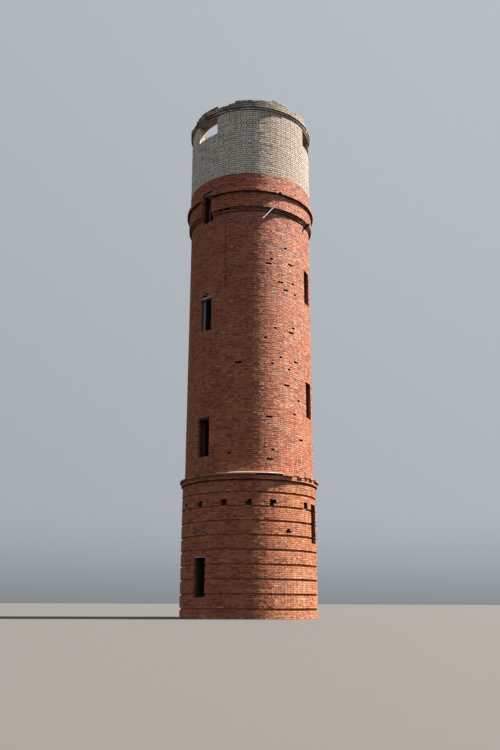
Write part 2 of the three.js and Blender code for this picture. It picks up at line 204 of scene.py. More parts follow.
# The parapet's joints and its top: each height runs on to the next azimuth
PARAPET_JOINTS = (-120, 0, 120, 240)
PARAPET_STEPS = (
    (-60, 21.4), (-57, 21.45), (-53, 21.5), (-30, 21.4), (-19, 21.45), (-14, 21.55), (13, 21.6),
    (16.5, 21.5), (19.7, 21.65), (25, 21.6), (36, 21.5), (38, 21.4), (48, 21.5),
    (60, 21.4), (63, 21.3), (88, 21.5), (118, 21.4), (131, 21.5), (150, 21.6),
    (166, 21.3), (210, 21.4), (228, 21.5), (252, 21.4), (266, 21.5), (284, 21.3), (300, 21.4),
)

# Share of bricks fallen from the parapet's topmost course, by azimuth
CROWN_LOSSES = ((26, 150, 0.3), (150, 325, 0.04))
CROWN_SEEDS = 9973

# Timber frames of the left windows: how far back each one sits from the wall's face
FRAME_POST = 0.07
FRAME_DEPTH = 0.08
FRAME_BOARD = 0.06
FRAME_CLEAR = 0.002
FRAME_SETBACKS = (0.15, 0.23, 0.14, 0.33)
BOARD_SETBACK = 0.008
FRAME_TONES = (0.0, 0.2, 0.72, 0.45)
BOARD_TONES = (0.8, 0.35, 1.0, 0.9)
BAR_WEAR = 0.006
BAR_STEP = 0.12
BAR_STRAY = 0.0008

# The iron bracket's bars: start, end (outwards, sideways and height), width and thickness
BRACKET_AZIMUTH = 63
BRACKET_BARS = (
    ((2.634, 0.01, 16.265), (2.637, -0.17, 15.97), 0.065, 0.014),
    ((2.62, 0, 16.225), (2.87, 0, 16.315), 0.022, 0.085),
    ((2.62, 0, 16.13), (2.82, 0, 16.27), 0.022, 0.06),
    ((2.865, 0, 16.23), (2.88, 0.01, 16.37), 0.055, 0.018),
)
BRACKET_ARRIS = 0.002

# How masonry bodies are divided, and how far their edges stand back from the bricks
COLUMN = 3.0
COLUMN_CLEAR = 0.6
CUT_CLEAR = 1.0
BED_CLEAR = 0.012

# How far bricks over an opening lie behind the face bricks, and how much of a course a floor may hide
HEAD_CLEAR = 0.02
FLOOR_COVER = 0.03

# How a piece's share of the baking map is divided, from the bottom up
BRICK_SHARE = 0.78
OUTER_SHARE = 0.9
INNER_SHARE = 0.955
END_SHARE = 0.975
MAP_MARGIN = 0.002
BRICK_MARGIN = 0.004
STEP_SHARE = 0.06

# Seeds of what is left to chance
COURSE_SEED = 1000
FALLEN_SEED = 77
BASE_SEED = 10
BASE_PANEL_SEED = 20
BELT_SEED = 30
CAP_SEED = 40
SHAFT_SEED = 50
SHAFT_PANEL_SEED = 70
FRIEZE_SEED = 90
FRIEZE_HEAD_SEED = 95
TANK_SEED = 100
APRON_SEED = 110
PARAPET_SEED = 120
FRAME_SEED = 140

# Camera, and half the side of the floor
LENS = 36.85
SENSOR_WIDTH = 36
CAMERA_PLACE = (0.019, -31.37, 0.58)
CAMERA_RISE = 16.512
CAMERA_ROLL = 0.2127
FAR_CLIP = 1000
FLOOR_HALF = 300

# Where the weather and the key light come from, where painted light and shade go, and where the walls' look
# changes: azimuths, heights and radii
SUN_AND_WEATHER_AZIMUTH = 100
RECESS_SHADE_RADII = (2.44, 2.59)
RECESS_SHADE_END = (17.5, 17.7)
STAIN_AZIMUTH = -22.4
STAIN_HEIGHT = 13
STAIN_LEAN = 0.27
STAIN_BAND = (13.0, 13.6, 16.2, 16.3)
BLOT_BAND = (12.85, 13.1, 13.4, 13.65)
UPPER_SHAFT = (12.5, 15)
PAINTED_LIGHT_FLANK = (4, 14, 30, 62)
FOOT_BAND = (0.3, 0.7, 1.3, 2.0)
GREY_SHADE_BAND = (30, 75, 100, 130)

# Tints and painted shade, and colours of dirt and growth
BASE_TINT = (1.03, 1.12, 0.98)
GREY_FLANK_SHADE_TINT = (0.84, 0.8, 0.8)
PAINTED_SHADE_TINT = (0.7, 0.67, 0.66)
CROWN_SOIL = (0.19, 0.145, 0.1)
CROWN_RUST = (0.36, 0.19, 0.09)
CROWN_MOSS = (0.06, 0.05, 0.035)
LICHEN = (0.36, 0.2, 0.09)
CEMENT_STAIN = (0.2, 0.17, 0.13)
CEMENT_MOSS = (0.085, 0.06, 0.038)
CONCRETE_RUST = (0.19, 0.085, 0.035)
CONCRETE_MOSS = (0.085, 0.075, 0.03)
TIMBER_CRACK = (0.05, 0.04, 0.03)
IRON_RUST = (0.03, 0.012, 0.008)
PIPE_RUST = (0.22, 0.09, 0.04)

Course = namedtuple("Course", "index low high radius header")
Opening = namedtuple("Opening", "azimuth half low high outer inner")


class Tile(namedtuple("Tile", "left right left_gap right_gap")):
    """A brick's stretch of azimuth, and the cut at each end where the course is broken."""

    @property
    def middle(self):
        return (self.left + self.right) / 2


def length_property(name, description, default):
    return bpy.props.FloatProperty(name=name, description=description, default=default, unit="LENGTH")


def share_property(name, description, default):
    return bpy.props.FloatProperty(
        name=name, description=description, default=default, subtype="FACTOR", min=0, max=1)


def degree_property(name, description, default):
    return bpy.props.FloatProperty(name=name, description=f"{description}, in degrees", default=default)


def strength_property(name, description, default):
    return bpy.props.FloatProperty(name=name, description=description, default=default, min=0)


def colour_property(name, description, default):
    return bpy.props.FloatVectorProperty(
        name=name, description=description, default=default, subtype="COLOR", size=3, min=0, max=1)


class MasonrySettings(bpy.types.PropertyGroup):
    joint: length_property("Joint", "Width of the mortar joints", 0.01)
    grey_joint: length_property("Grey joint", "Width of the grey brickwork's joints", 0.016)
    recess: length_property("Recess", "How far the mortar lies behind the bricks", 0.009)
    arris: length_property("Arris", "Wear of the bricks' front edges", 0.002)
    uneven: length_property("Unevenness", "How far the bricks stray from the wall's face", 0.0022)
    turn: degree_property("Turn", "How far bricks are turned about their upright axis", 1.5)
    grey_turn: degree_property("Grey turn", "How far grey bricks are turned", 0.9)
    lean: degree_property("Lean", "How far bricks lean", 1.5)
    spalled: share_property("Spalled", "Share of bricks whose face has broken off", 0.035)
    chipped: share_property("Chipped", "Share of corners that are chipped", 0.045)


class FinishSettings(bpy.types.PropertyGroup):
    burnt: colour_property("Burnt brick", "Over-fired, blue-grey bricks", (0.16, 0.094, 0.078))
    deep: colour_property("Deep red brick", "Dark red bricks", (0.29, 0.08, 0.046))
    red: colour_property("Red brick", "Most of the bricks", (0.42, 0.125, 0.058))
    orange: colour_property("Orange brick", "Bright orange bricks", (0.49, 0.152, 0.063))
    salmon: colour_property("Salmon brick", "Pale, under-fired bricks", (0.54, 0.215, 0.115))
    lime: colour_property("Lime bloom", "White salts on the red bricks", (0.7, 0.55, 0.46))
    red_mortar: colour_property("Mortar", "Dirty mortar of the red brickwork", (0.1, 0.058, 0.042))
    lime_mortar: colour_property("Clean mortar", "Clean mortar of the red brickwork", (0.4, 0.3, 0.24))
    silicate: colour_property("Grey brick", "Most of the silicate bricks", (0.695, 0.605, 0.505))
    silicate_pale: colour_property("Pale brick", "The palest silicate bricks", (0.76, 0.675, 0.58))
    silicate_dark: colour_property("Stained brick", "Weathered silicate bricks", (0.52, 0.45, 0.375))
    grey_mortar: colour_property("Grey mortar", "Mortar of the silicate brickwork", (0.075, 0.06, 0.047))
    cement: colour_property("Cement", "Cement weathering on the belt", (0.56, 0.51, 0.44))
    concrete: colour_property("Concrete", "Lintels and floors", (0.26, 0.2, 0.145))
    timber: colour_property("Timber", "Weathered window frames", (0.27, 0.31, 0.37))
    old_timber: colour_property("Old timber", "Blackened window frames", (0.03, 0.028, 0.026))
    brown_timber: colour_property("Brown timber", "Frames that are still brown", (0.115, 0.09, 0.06))
    pale_timber: colour_property("Pale timber", "The boards at the windows' heads", (0.62, 0.58, 0.5))
    iron: colour_property("Iron", "Rusty iron", (0.012, 0.008, 0.007))
    pipe: colour_property("Pipe", "The pale pipe", (0.72, 0.69, 0.64))


class LightSettings(bpy.types.PropertyGroup):
    azimuth: degree_property("Key azimuth", "Side that the key light comes from", 94)
    elevation: degree_property("Key height", "Height of the key light", 55)
    softness: degree_property("Softness", "Width of the key light", 1.2)
    key: strength_property("Key", "Strength of the key light", 14.4)
    fill: strength_property("Fill", "Strength of the light from above", 0.455)
    glow: strength_property("Glow", "How much brighter it is on the side of the key light", 0.3)
    ground: strength_property("Ground", "Strength of the light from below", 0.1)
    sun: colour_property("Key colour", "Colour of the key light", (1.0, 0.93, 0.84))
    sky: colour_property("Fill colour", "Colour of the light all round", (0.86, 0.93, 1.0))
    floor: colour_property("Floor", "Colour of the floor", (0.09, 0.089, 0.086))


# Where a point lies round the tower
def polar(degrees, radius):
    turn = np.radians(degrees)
    return np.stack([radius * np.sin(turn), -radius * np.cos(turn)], axis=-1)


def cut_angle(cut, radius):
    """Where a vertical cut, parallel to its azimuth and offset sideways, meets a radius."""
    azimuth, offset = cut
    return azimuth + math.degrees(math.asin(offset / radius))


def square_to(azimuth, along, across):
    """A plan point by its distance out along an azimuth and sideways from it."""
    turn = math.radians(azimuth)
    out = np.array([math.sin(turn), -math.cos(turn)])
    side = np.array([math.cos(turn), math.sin(turn)])
    along, across = (np.asarray(value, float) for value in (along, across))
    return np.multiply.outer(along, out) + np.multiply.outer(across, side)


def turned_near(angle, target):
    return angle + 360 * round((target - angle) / 360)


# Courses
def all_courses():
    """Every course from the ground up. Header courses and stretcher courses take turns."""
    courses = []
    for bottom, top, height, radius in BANDS:
        for i in range(round((top - bottom) / height)):
            index = len(courses)
            face = GROOVE_R if index in GROOVES else radius
            low, high = bottom + i * height, bottom + (i + 1) * height
            courses.append(Course(index, low, high, face, index % 2 == 0))
    return courses


def all_openings():
    openings = [Opening(REAR, DOOR_HALF, 0, DOOR_HEAD, BASE_R, BASE_IN),
                Opening(BASE_RIGHT, WINDOW_HALF, *BASE_RIGHT_WINDOW, BASE_R, BASE_IN),
                Opening(REAR, WINDOW_HALF, *REAR_WINDOW, SHAFT_R, SHAFT_IN)]
    for i, (sill, head) in enumerate(LEFT_WINDOWS):
        outer, inner = (BASE_R, BASE_IN) if i == 0 else (SHAFT_R, SHAFT_IN)
        openings.append(Opening(LEFT, WINDOW_HALF, sill, head, outer, inner))
    for sill, head in RIGHT_WINDOWS:
        openings.append(Opening(RIGHT, WINDOW_HALF, sill, head, SHAFT_R, SHAFT_IN))
    for azimuth in HOLES:
        openings.append(Opening(azimuth, HOLE_HALF, HOLE_SILL, HOLE_HEAD, TANK_R, TANK_IN))
    return openings


COURSES = all_courses()
OPENINGS = all_openings()


def courses_between(low, high):
    return [course for course in COURSES if low - CLOSE < course.low and course.high < high + CLOSE]


def course_at(low):
    return min(COURSES, key=lambda course: abs(course.low - low))


def opening_at(azimuth, low):
    return next(o for o in OPENINGS if o.azimuth == azimuth and abs(o.low - low) < CLOSE)


def gaps_at(course):
    """What breaks a course: the azimuth and half width of openings, lintels and beam holes."""
    middle = (course.low + course.high) / 2
    gaps = [(o.azimuth, o.half) for o in OPENINGS if o.low < middle < o.high]
    if HOLE_HEAD < middle < CORNICE_BOTTOM:
        gaps += [(azimuth, LINTEL_HALF) for azimuth in HOLES]
    row = round((course.low - POCKET_LOW) / RED_COURSE)
    if 0 <= row < POCKET_ROWS:
        shift = RAGGED_SHIFT * (row - 1)
        for i, azimuth in enumerate(POCKETS):
            ragged = row == 2 * (i % 2) and i % 3 < 2
            gaps.append((azimuth + shift, RAGGED_HALF) if ragged else (azimuth, POCKET_HALF))
    return gaps


def with_gap(tiles, gap, radius):
    """The tiles of a course with one gap cut out of them. Slivers join their neighbour."""
    azimuth, half = gap
    kept = []
    shortest = math.degrees(SHORTEST / radius)
    for tile in tiles:
        turn = turned_near(azimuth, tile.middle) - azimuth
        low = cut_angle((azimuth, -half), radius) + turn
        high = cut_angle((azimuth, half), radius) + turn
        if tile.right <= low or tile.left >= high:
            kept.append(tile)
            continue
        if tile.left < low:
            if low - tile.left >= shortest or not kept:
                kept.append(Tile(tile.left, low, tile.left_gap, (azimuth, -half)))
            else:
                kept[-1] = kept[-1]._replace(right=low, right_gap=(azimuth, -half))
        if tile.right > high:
            kept.append(Tile(high, tile.right, (azimuth, half), tile.right_gap))
    joined = []
    for tile in kept:
        last = joined[-1] if joined else None
        if last and last.left_gap and not last.right_gap and last.right - last.left < shortest:
            joined[-1] = Tile(last.left, tile.right, last.left_gap, tile.right_gap)
        else:
            joined.append(tile)
    return joined


def laid_tiles(course):
    """The bricks of a whole course as stretches of azimuth."""
    chance = np.random.default_rng(COURSE_SEED + course.index)
    count = round(2 * math.pi * course.radius / BOND_STEP)
    count *= 2 if course.header else 1
    step = 360 / count
    drift = GREY_DRIFT if course.low > RED_TOP - CLOSE else RED_DRIFT
    start = -180 + step / 2 * course.header + chance.uniform(-drift, drift)
    edges = start + np.arange(count) * step + chance.normal(0, JOINT_STRAY, count)
    ends = np.append(edges[1:], edges[0] + 360)
    tiles = [Tile(left, right, None, None) for left, right in zip(edges, ends)]
    for gap in gaps_at(course):
        tiles = with_gap(tiles, gap, course.radius)
    if course.low <= WEEP_Z < course.high:
        tiles = [narrowed(tile) if is_weep(tile) else tile for tile in tiles]
    return tiles


def is_weep(tile):
    return WEEP_FROM < tile.middle < WEEP_TO


def narrowed(tile):
    """A brick between two open joints."""
    return tile._replace(left=tile.left + WEEP_HALF, right=tile.right - WEEP_HALF)


TILES = [laid_tiles(course) for course in COURSES]


def tiles_between(course, start, end):
    """The bricks of a course between two cuts."""
    first = cut_angle(start, course.radius)
    reach = cut_angle(end, course.radius) - first
    return [tile for tile in TILES[course.index] if (tile.middle - first) % 360 < reach]


def is_missing(course, tile):
    for azimuth, z in MISSING:
        turned = turned_near(azimuth, tile.left + 1)
        if course.low <= z < course.high and tile.left <= turned < tile.right:
            return True
    return False


def fallen_bricks():
    """Every missing brick with its course: those in view, and a small share of the others."""
    fallen = []
    chance = np.random.default_rng(FALLEN_SEED)
    for course in COURSES:
        if course.low >= RED_TOP:
            break
        for tile in TILES[course.index]:
            whole = not (tile.left_gap or tile.right_gap)
            unseen = UNSEEN[0] < tile.middle % 360 < UNSEEN[1] and chance.random() < UNSEEN_MISSING
            if whole and (is_missing(course, tile) or unseen):
                fallen.append((course, tile))
    return fallen


FALLEN = fallen_bricks()


# Shapes
def plan_between(left, right, depth, taper=TAPER):
    """Plan corners of bricks from the ends of their faces: front left, front right and behind them."""
    along = right - left
    along = along / np.linalg.norm(along, axis=-1, keepdims=True)
    back = np.stack([-along[..., 1], along[..., 0]], axis=-1) * depth
    return np.stack([left, right, right + back - along * taper, left + back + along * taper], axis=-2)


def worn_bricks(plan, low, high, chance, settings, turn):
    """The twelve points of each brick: rings behind it and at its front, and a smaller one on its face."""
    count = len(plan)
    front_left, front_right, back_right, back_left = (plan[:, i] for i in range(4))
    along = front_right - front_left
    along = along / np.linalg.norm(along, axis=1, keepdims=True)
    out = np.stack([along[:, 1], -along[:, 0]], axis=1)
    proud = np.clip(chance.normal(0, settings.uneven, count), *PROUD_LIMITS)
    spalled = chance.random(count) < settings.spalled
    proud -= spalled * chance.uniform(*SPALL_DEPTHS, count)
    half_width = np.linalg.norm(front_right - front_left, axis=1) / 2
    half_height = (high - low) / 2
    side = np.array([1, -1, -1, 1])
    rise = np.array([1, 1, -1, -1])
    yaw = np.tan(np.radians(chance.normal(0, turn, count))) * half_width
    pitch = np.tan(np.radians(chance.normal(0, settings.lean, count))) * half_height
    tilt = side * yaw[:, None] + rise * pitch[:, None] + chance.normal(0, settings.uneven / 4, (count, 4))
    tilt -= spalled[:, None] * chance.uniform(0, SPALL_TILT, (count, 4))
    inset = settings.arris + np.abs(chance.normal(0, EDGE_WEAR, (count, 4)))
    chips = chance.random((count, 4)) < settings.chipped
    inset += chips * chance.uniform(*CHIP_SIZES, (count, 4))
    corner = np.stack([front_left, front_right, front_right, front_left], axis=1)
    behind = np.stack([back_left, back_right, back_right, back_left], axis=1)
    level = np.stack([low, low, high, high], axis=1)
    points = np.empty((count, 12, 3))
    points[:, 0:4, :2] = behind
    points[:, 0:4, 2] = level
    set_back = inset * 1.1 - np.minimum(proud[:, None] + tilt, 0)
    points[:, 4:8, :2] = corner - out[:, None] * set_back[..., None]
    points[:, 4:8, 2] = level + chance.normal(0, CORNER_STRAY, (count, 4))
    face = corner + along[:, None] * (side * inset)[..., None]
    points[:, 8:12, :2] = face + out[:, None] * np.clip(proud[:, None] + tilt, *FACE_LIMITS)[..., None]
    points[:, 8:12, 2] = level + rise * np.minimum(inset, CHIP_RISE)
    return points


BRICK_FACES = np.array([
    (1, 0, 3, 2),
    (0, 1, 5, 4), (1, 2, 6, 5), (2, 3, 7, 6), (3, 0, 4, 7),
    (4, 5, 9, 8), (5, 6, 10, 9), (6, 7, 11, 10), (7, 4, 8, 11),
    (8, 9, 10, 11),
])
RING_INSETS = np.repeat([0.0, 0.0035, 0.009], 4)
BRICK_SLOT, JOINT_SLOT, INNER_SLOT = range(3)


def shelf_map(widths, height):
    """Places bricks side by side on shelves that fill the bricks' share of the map. Returns each
    brick's place and the map's scale."""
    total = widths.sum()
    longest = widths.max()
    scale = math.sqrt(BRICK_SHARE / (total * height))
    while True:
        shelf = 1 / scale - longest
        if shelf > 0 and math.ceil(total / shelf) * height * scale <= BRICK_SHARE:
            break
        scale *= 0.995
    starts = np.cumsum(widths) - widths
    return (starts % shelf) * scale, np.floor(starts / shelf) * height * scale, scale


def core_rows(low, high):
    """The mortar's radius between two heights, as (low, high, radius), from the courses' radii.
    Each step stands back a little so that the bricks' beds show under and on it."""
    recess = bpy.context.scene.tower_masonry.recess
    rows = []
    for course in COURSES:
        if not rows or rows[-1][2] != course.radius - recess:
            rows.append([course.low, course.high, course.radius - recess])
        else:
            rows[-1][1] = course.high
    for below, above in zip(rows, rows[1:]):
        step = BED_CLEAR if above[2] > below[2] else -BED_CLEAR
        below[1] += step
        above[0] += step
    return [(max(a, low), min(b, high), r) for a, b, r in rows if a < high - CLOSE and b > low + CLOSE]


def spread_out(values, fixed, clear):
    """Sorted fixed values, with those of the others that lie clear of them."""
    fixed = sorted(set(round(v, 6) for v in fixed))
    return sorted(fixed + [v for v in values if all(abs(v - f) > clear for f in fixed)])


def map_place(share, low, high, margin):
    """A place between two shares of the map, with a margin at both."""
    return low + margin + share * (high - low - 2 * margin)


class MortarBody:
    """A closed body of round masonry between two cuts, stepped by rows and sunk by recesses."""

    def __init__(self, start, end, rows, inner, recesses=()):
        self.start, self.end, self.rows, self.inner = start, end, rows, inner
        self.points, self.keys = [], {}
        self.faces, self.slots, self.places = [], [], []
        radii = [row[2] for row in rows] + [inner]
        first = max(cut_angle(start, r) for r in radii) + COLUMN_CLEAR
        last = min(cut_angle(end, r) for r in radii) - COLUMN_CLEAR
        floor, top = rows[0][0], rows[-1][1]
        recesses = [(left, right, max(low, floor), min(high, top), radius)
                    for left, right, low, high, radius in recesses]
        inside = [a for left, right, *_ in recesses for a in (left, right) if first < a < last]
        regular = np.arange(math.ceil(first / COLUMN) * COLUMN, last, COLUMN)
        self.columns = spread_out(regular, inside, COLUMN_CLEAR)
        heights = [z for row in rows for z in row[:2]] + [z for recess in recesses for z in recess[2:4]]
        self.levels = spread_out([], heights, 0)
        self.cells = self.cell_radii(recesses)
        self.add_faces()

    def angle(self, column, radius):
        if column == 0:
            return cut_angle(self.start, radius)
        if column > len(self.columns):
            return cut_angle(self.end, radius)
        return self.columns[column - 1]

    def cell_radii(self, recesses):
        across = len(self.columns) + 1
        cells = np.empty((across, len(self.levels) - 1))
        edges = [self.angle(i, self.inner) for i in range(across + 1)]
        middles = (np.array(edges[:-1]) + np.array(edges[1:])) / 2
        for j, (low, high) in enumerate(zip(self.levels, self.levels[1:])):
            level = (low + high) / 2
            cells[:, j] = next(r for a, b, r in self.rows if a <= level <= b)
            for left, right, bottom, top, radius in recesses:
                if bottom < level < top:
                    cells[(middles > left) & (middles < right), j] = radius
        return cells

    def point(self, column, level, radius):
        key = (column, level, round(radius, 6))
        if key not in self.keys:
            self.keys[key] = len(self.points)
            x, y = polar(self.angle(column, radius), radius)
            self.points.append((x, y, self.levels[level]))
        return self.keys[key]

    def add(self, corners, slot, place):
        self.faces.append([self.point(*corner) for corner in corners])
        self.slots.append(slot)
        self.places.append([place(*corner) for corner in corners])

    def radial(self, column, level, near, far):
        """The corners along one radial edge, with every step that meets it."""
        met = {near, far}
        for i in (column - 1, column):
            for j in (level - 1, level):
                if 0 <= i < self.cells.shape[0] and 0 <= j < self.cells.shape[1]:
                    if min(near, far) < self.cells[i, j] < max(near, far):
                        met.add(self.cells[i, j])
        return [(column, level, r) for r in sorted(met, reverse=bool(near > far))]

    def add_faces(self):
        across, up = self.cells.shape
        low, high = self.levels[0], self.levels[-1]
        widest = self.cells.max()

        def outer_place(column, level, radius):
            depth = min(widest - radius, STEP_SHARE)
            share = (self.levels[level] - low + depth) / (high - low + STEP_SHARE)
            return column / across, map_place(share, BRICK_SHARE, OUTER_SHARE, 2 * MAP_MARGIN)

        def inner_place(column, level, radius):
            share = (self.levels[level] - low) / (high - low)
            return column / across, map_place(share, OUTER_SHARE, INNER_SHARE, MAP_MARGIN)

        def end_place(column, level, radius):
            share = (self.levels[level] - low) / (high - low)
            depth = (radius - self.inner) / (widest - self.inner)
            return (share + (column > 0)) / 2, INNER_SHARE + depth * (END_SHARE - INNER_SHARE - MAP_MARGIN)

        def bed_place(column, level, radius):
            depth = (radius - self.inner) / (widest - self.inner)
            return column / across, END_SHARE + ((level > 0) * 6 + depth * 5) * MAP_MARGIN

        for i in range(across):
            for j in range(up):
                r = self.cells[i, j]
                cell = [(i, j, r), (i + 1, j, r), (i + 1, j + 1, r), (i, j + 1, r)]
                self.add(cell, JOINT_SLOT, outer_place)
                if j > 0 and self.cells[i, j - 1] != r:
                    below = self.cells[i, j - 1]
                    left = self.radial(i, j, r, below)
                    right = self.radial(i + 1, j, below, r)
                    self.add(left + right, JOINT_SLOT, outer_place)
                if i > 0 and self.cells[i - 1, j] != r:
                    beside = self.cells[i - 1, j]
                    left = self.radial(i, j, beside, r)
                    right = self.radial(i, j + 1, r, beside)
                    self.add(left + right, JOINT_SLOT, outer_place)
            self.add(self.radial(i, 0, self.cells[i, 0], self.inner)
                     + self.radial(i + 1, 0, self.inner, self.cells[i, 0]), JOINT_SLOT, bed_place)
            self.add(self.radial(i, up, self.inner, self.cells[i, -1])
                     + self.radial(i + 1, up, self.cells[i, -1], self.inner), JOINT_SLOT, bed_place)
            inside = [(i + 1, 0), (i, 0), (i, up), (i + 1, up)]
            self.add([(*corner, self.inner) for corner in inside], INNER_SLOT, inner_place)
        for column, cell in ((0, 0), (across, across - 1)):
            profile = [(column, 0, self.inner)]
            for j in range(up):
                profile += [(column, j, self.cells[cell, j]), (column, j + 1, self.cells[cell, j])]
            profile.append((column, up, self.inner))
            profile = [p for k, p in enumerate(profile) if k == 0 or p != profile[k - 1]]
            self.add(profile if column == 0 else profile[::-1], JOINT_SLOT, end_place)

    def arrays(self):
        """The body's points, faces, places on the map and attributes."""
        points = np.array(self.points)
        return {
            "points": points,
            "corners": np.concatenate(self.faces),
            "lengths": np.array([len(face) for face in self.faces]),
            "slots": np.array(self.slots),
            "places": np.concatenate([np.array(places) for places in self.places]),
            "tone": np.full(len(points), 0.5),
            "grade": np.full(len(points), 0.5),
            # Points deep in recesses, where the finishes paint shade
            "wear": np.hypot(points[:, 0], points[:, 1]) < self.cells.max() - HOLE_DEPTH,
        }


class Brickwork:
    """The bricks and mortar bodies of one piece, gathered before they become a mesh."""

    def __init__(self, seed, grey=False):
        self.chance = np.random.default_rng(seed)
        self.settings = bpy.context.scene.tower_masonry
        self.grey = grey
        self.joint = self.settings.grey_joint if grey else self.settings.joint
        self.turn = self.settings.grey_turn if grey else self.settings.turn
        self.plans, self.lows, self.highs = [], [], []
        self.bodies = []

    def lay(self, plan, low, high):
        """Lays bricks by their plan corners. Their beds are half a joint above and below them."""
        if len(plan):
            bed = self.joint / 2
            self.plans.append(plan)
            self.lows.append(np.broadcast_to(np.asarray(low, float) + bed, len(plan)))
            self.highs.append(np.broadcast_to(np.asarray(high, float) - bed, len(plan)))

    def lay_course(self, course, tiles, high=None):
        """Lays the given tiles of a course with their faces on its radius."""
        if not tiles:
            return
        radius = course.radius
        half = math.degrees(self.joint / 2 / radius)
        left = polar(np.array([t.left + half * (t.left_gap is None) for t in tiles]), radius)
        right = polar(np.array([t.right - half * (t.right_gap is None) for t in tiles]), radius)
        depth = face_depth(course)
        plan = plan_between(left, right, depth)
        for i, tile in enumerate(tiles):
            if tile.left_gap:
                plan[i, 3] = plan[i, 0] - square_to(tile.left_gap[0], depth, 0)
            if tile.right_gap:
                plan[i, 2] = plan[i, 1] - square_to(tile.right_gap[0], depth, 0)
        self.lay(plan, course.low, course.high if high is None else high)

    def lay_inner(self, course, tiles, radius, depth):
        """Lays bricks whose faces look at the tower's axis."""
        half = math.degrees(self.joint / 2 / radius)
        rights, lefts = [], []
        for tile in tiles:
            low, high = tile.left + half, tile.right - half
            if tile.left_gap:
                low = turned_near(cut_angle(tile.left_gap, radius), tile.left)
            if tile.right_gap:
                high = turned_near(cut_angle(tile.right_gap, radius), tile.right)
            if high - low > 2 * SLIVER_JOINTS * half:
                lefts.append(high)
                rights.append(low)
        left, right = polar(np.array(lefts), radius), polar(np.array(rights), radius)
        self.lay(plan_between(left, right, depth, -TAPER), course.low, course.high)

    def lay_jamb(self, opening, side, course):
        """Lays a jamb's bricks in one course, from behind the face brick to the inside of the wall."""
        outer = math.sqrt(course.radius ** 2 - opening.half ** 2) - face_depth(course) - self.joint
        inner = math.sqrt(opening.inner ** 2 - opening.half ** 2)
        near, far = [], []
        while outer - inner > SHORTEST:
            length = BRICK_LENGTH if outer - inner - BRICK_LENGTH >= SHORTEST else outer - inner
            far.append(outer)
            near.append(outer - length)
            outer -= length + self.joint
        left, right = (near, far) if side > 0 else (far, near)
        across = np.full(len(near), side * opening.half)
        left, right = (square_to(opening.azimuth, along, across) for along in (left, right))
        self.lay(plan_between(left, right, REVEAL_DEPTH, 0), course.low, course.high)

    def lay_reveal(self, opening, side, low=0.0, high=math.inf):
        """Lays a jamb of an opening as far as it lies between two heights."""
        for course in courses_between(max(opening.low, low), min(opening.high, high)):
            self.lay_jamb(opening, side, course)

    def lay_bed(self, opening, course):
        """Lays the bricks behind the face of the course over or under an opening, so that the
        opening's head or sill shows them through the wall's whole thickness."""
        outer = course.radius - HEAD_CLEAR - face_depth(course) - self.joint
        row = 0
        while outer - opening.inner > SHORTEST:
            depth = min(BRICK_WIDTH, outer - opening.inner)
            start = -opening.half + (row % 2) * BRICK_WIDTH / 2
            lefts = np.arange(start, opening.half, BRICK_LENGTH + self.joint)
            lefts = np.append(lefts, -opening.half) if row % 2 else lefts
            rights = np.minimum(lefts + BRICK_LENGTH, opening.half)
            rights = np.where((lefts < start), start - self.joint, rights)
            wide = rights - lefts > SHORTEST / 2
            along = np.full(wide.sum(), outer)
            left, right = (square_to(opening.azimuth, along, ends[wide]) for ends in (lefts, rights))
            self.lay(plan_between(left, right, depth, 0), course.low, course.high)
            outer -= BRICK_WIDTH + self.joint
            row += 1

    def arrays(self):
        """The bricks' points, faces, places on the map and attributes."""
        plan, low, high = (np.concatenate(values) for values in (self.plans, self.lows, self.highs))
        solid = worn_bricks(plan, low, high, self.chance, self.settings, self.turn)
        count = len(solid)
        widths = np.linalg.norm(plan[:, 1] - plan[:, 0], axis=1)
        heights = high - low
        shelf_u, shelf_v, scale = shelf_map(widths + BRICK_MARGIN, heights.max() + BRICK_MARGIN)
        right_side = np.tile([False, True, True, False], 3)
        upper_side = np.tile([False, False, True, True], 3)
        u = np.where(right_side, widths[:, None] - RING_INSETS, RING_INSETS)
        v = np.where(upper_side, heights[:, None] - RING_INSETS, RING_INSETS)
        places = np.stack([shelf_u[:, None] + u * scale, shelf_v[:, None] + v * scale], -1)
        firsts = np.arange(count)[:, None] * 12
        corners = np.concatenate([(firsts + face).ravel() for face in BRICK_FACES])
        return {
            "points": solid.reshape(-1, 3),
            "corners": corners,
            "lengths": np.full(count * len(BRICK_FACES), 4),
            "slots": np.full(count * len(BRICK_FACES), BRICK_SLOT),
            "places": places.reshape(-1, 2)[corners],
            "tone": np.repeat(self.chance.random(count), 12),
            "grade": np.repeat(self.chance.random(count), 12),
            # The edge ring: edge wear, and painted shade on the bricks' sides
            "wear": np.tile(np.repeat([0.0, 1.0, 0.0], 4), count),
        }

    def build(self, node, ending="brickwork"):
        """Makes one mesh of all bricks and bodies. It rides on the tower and stands for its node."""
        parts = [part.arrays() for part in ([self] if self.plans else []) + self.bodies]
        firsts = np.cumsum([0] + [len(part["points"]) for part in parts])
        for part, first in zip(parts, firsts):
            part["corners"] = part["corners"] + first
        whole = {key: np.concatenate([part[key] for part in parts]) for key in parts[0]}
        name = f"{node}_{ending}"
        mesh = bpy.data.meshes.new(name)
        fill_mesh(mesh, whole["points"], whole["corners"], whole["lengths"], whole["places"])
        mesh.polygons.foreach_set("material_index", whole["slots"].astype(np.int32))
        for label in ("tone", "grade", "wear"):
            attribute = mesh.attributes.new(label, "FLOAT", "POINT")
            attribute.data.foreach_set("value", whole[label].astype(np.float32))
        if self.grey:
            place_piece(name, mesh, node, [grey_brick(), grey_mortar(), grey_mortar()])
        else:
            place_piece(name, mesh, node, [red_brick(), red_mortar(), inner_brick()])


def face_depth(course):
    return BRICK_LENGTH if course.header else BRICK_WIDTH


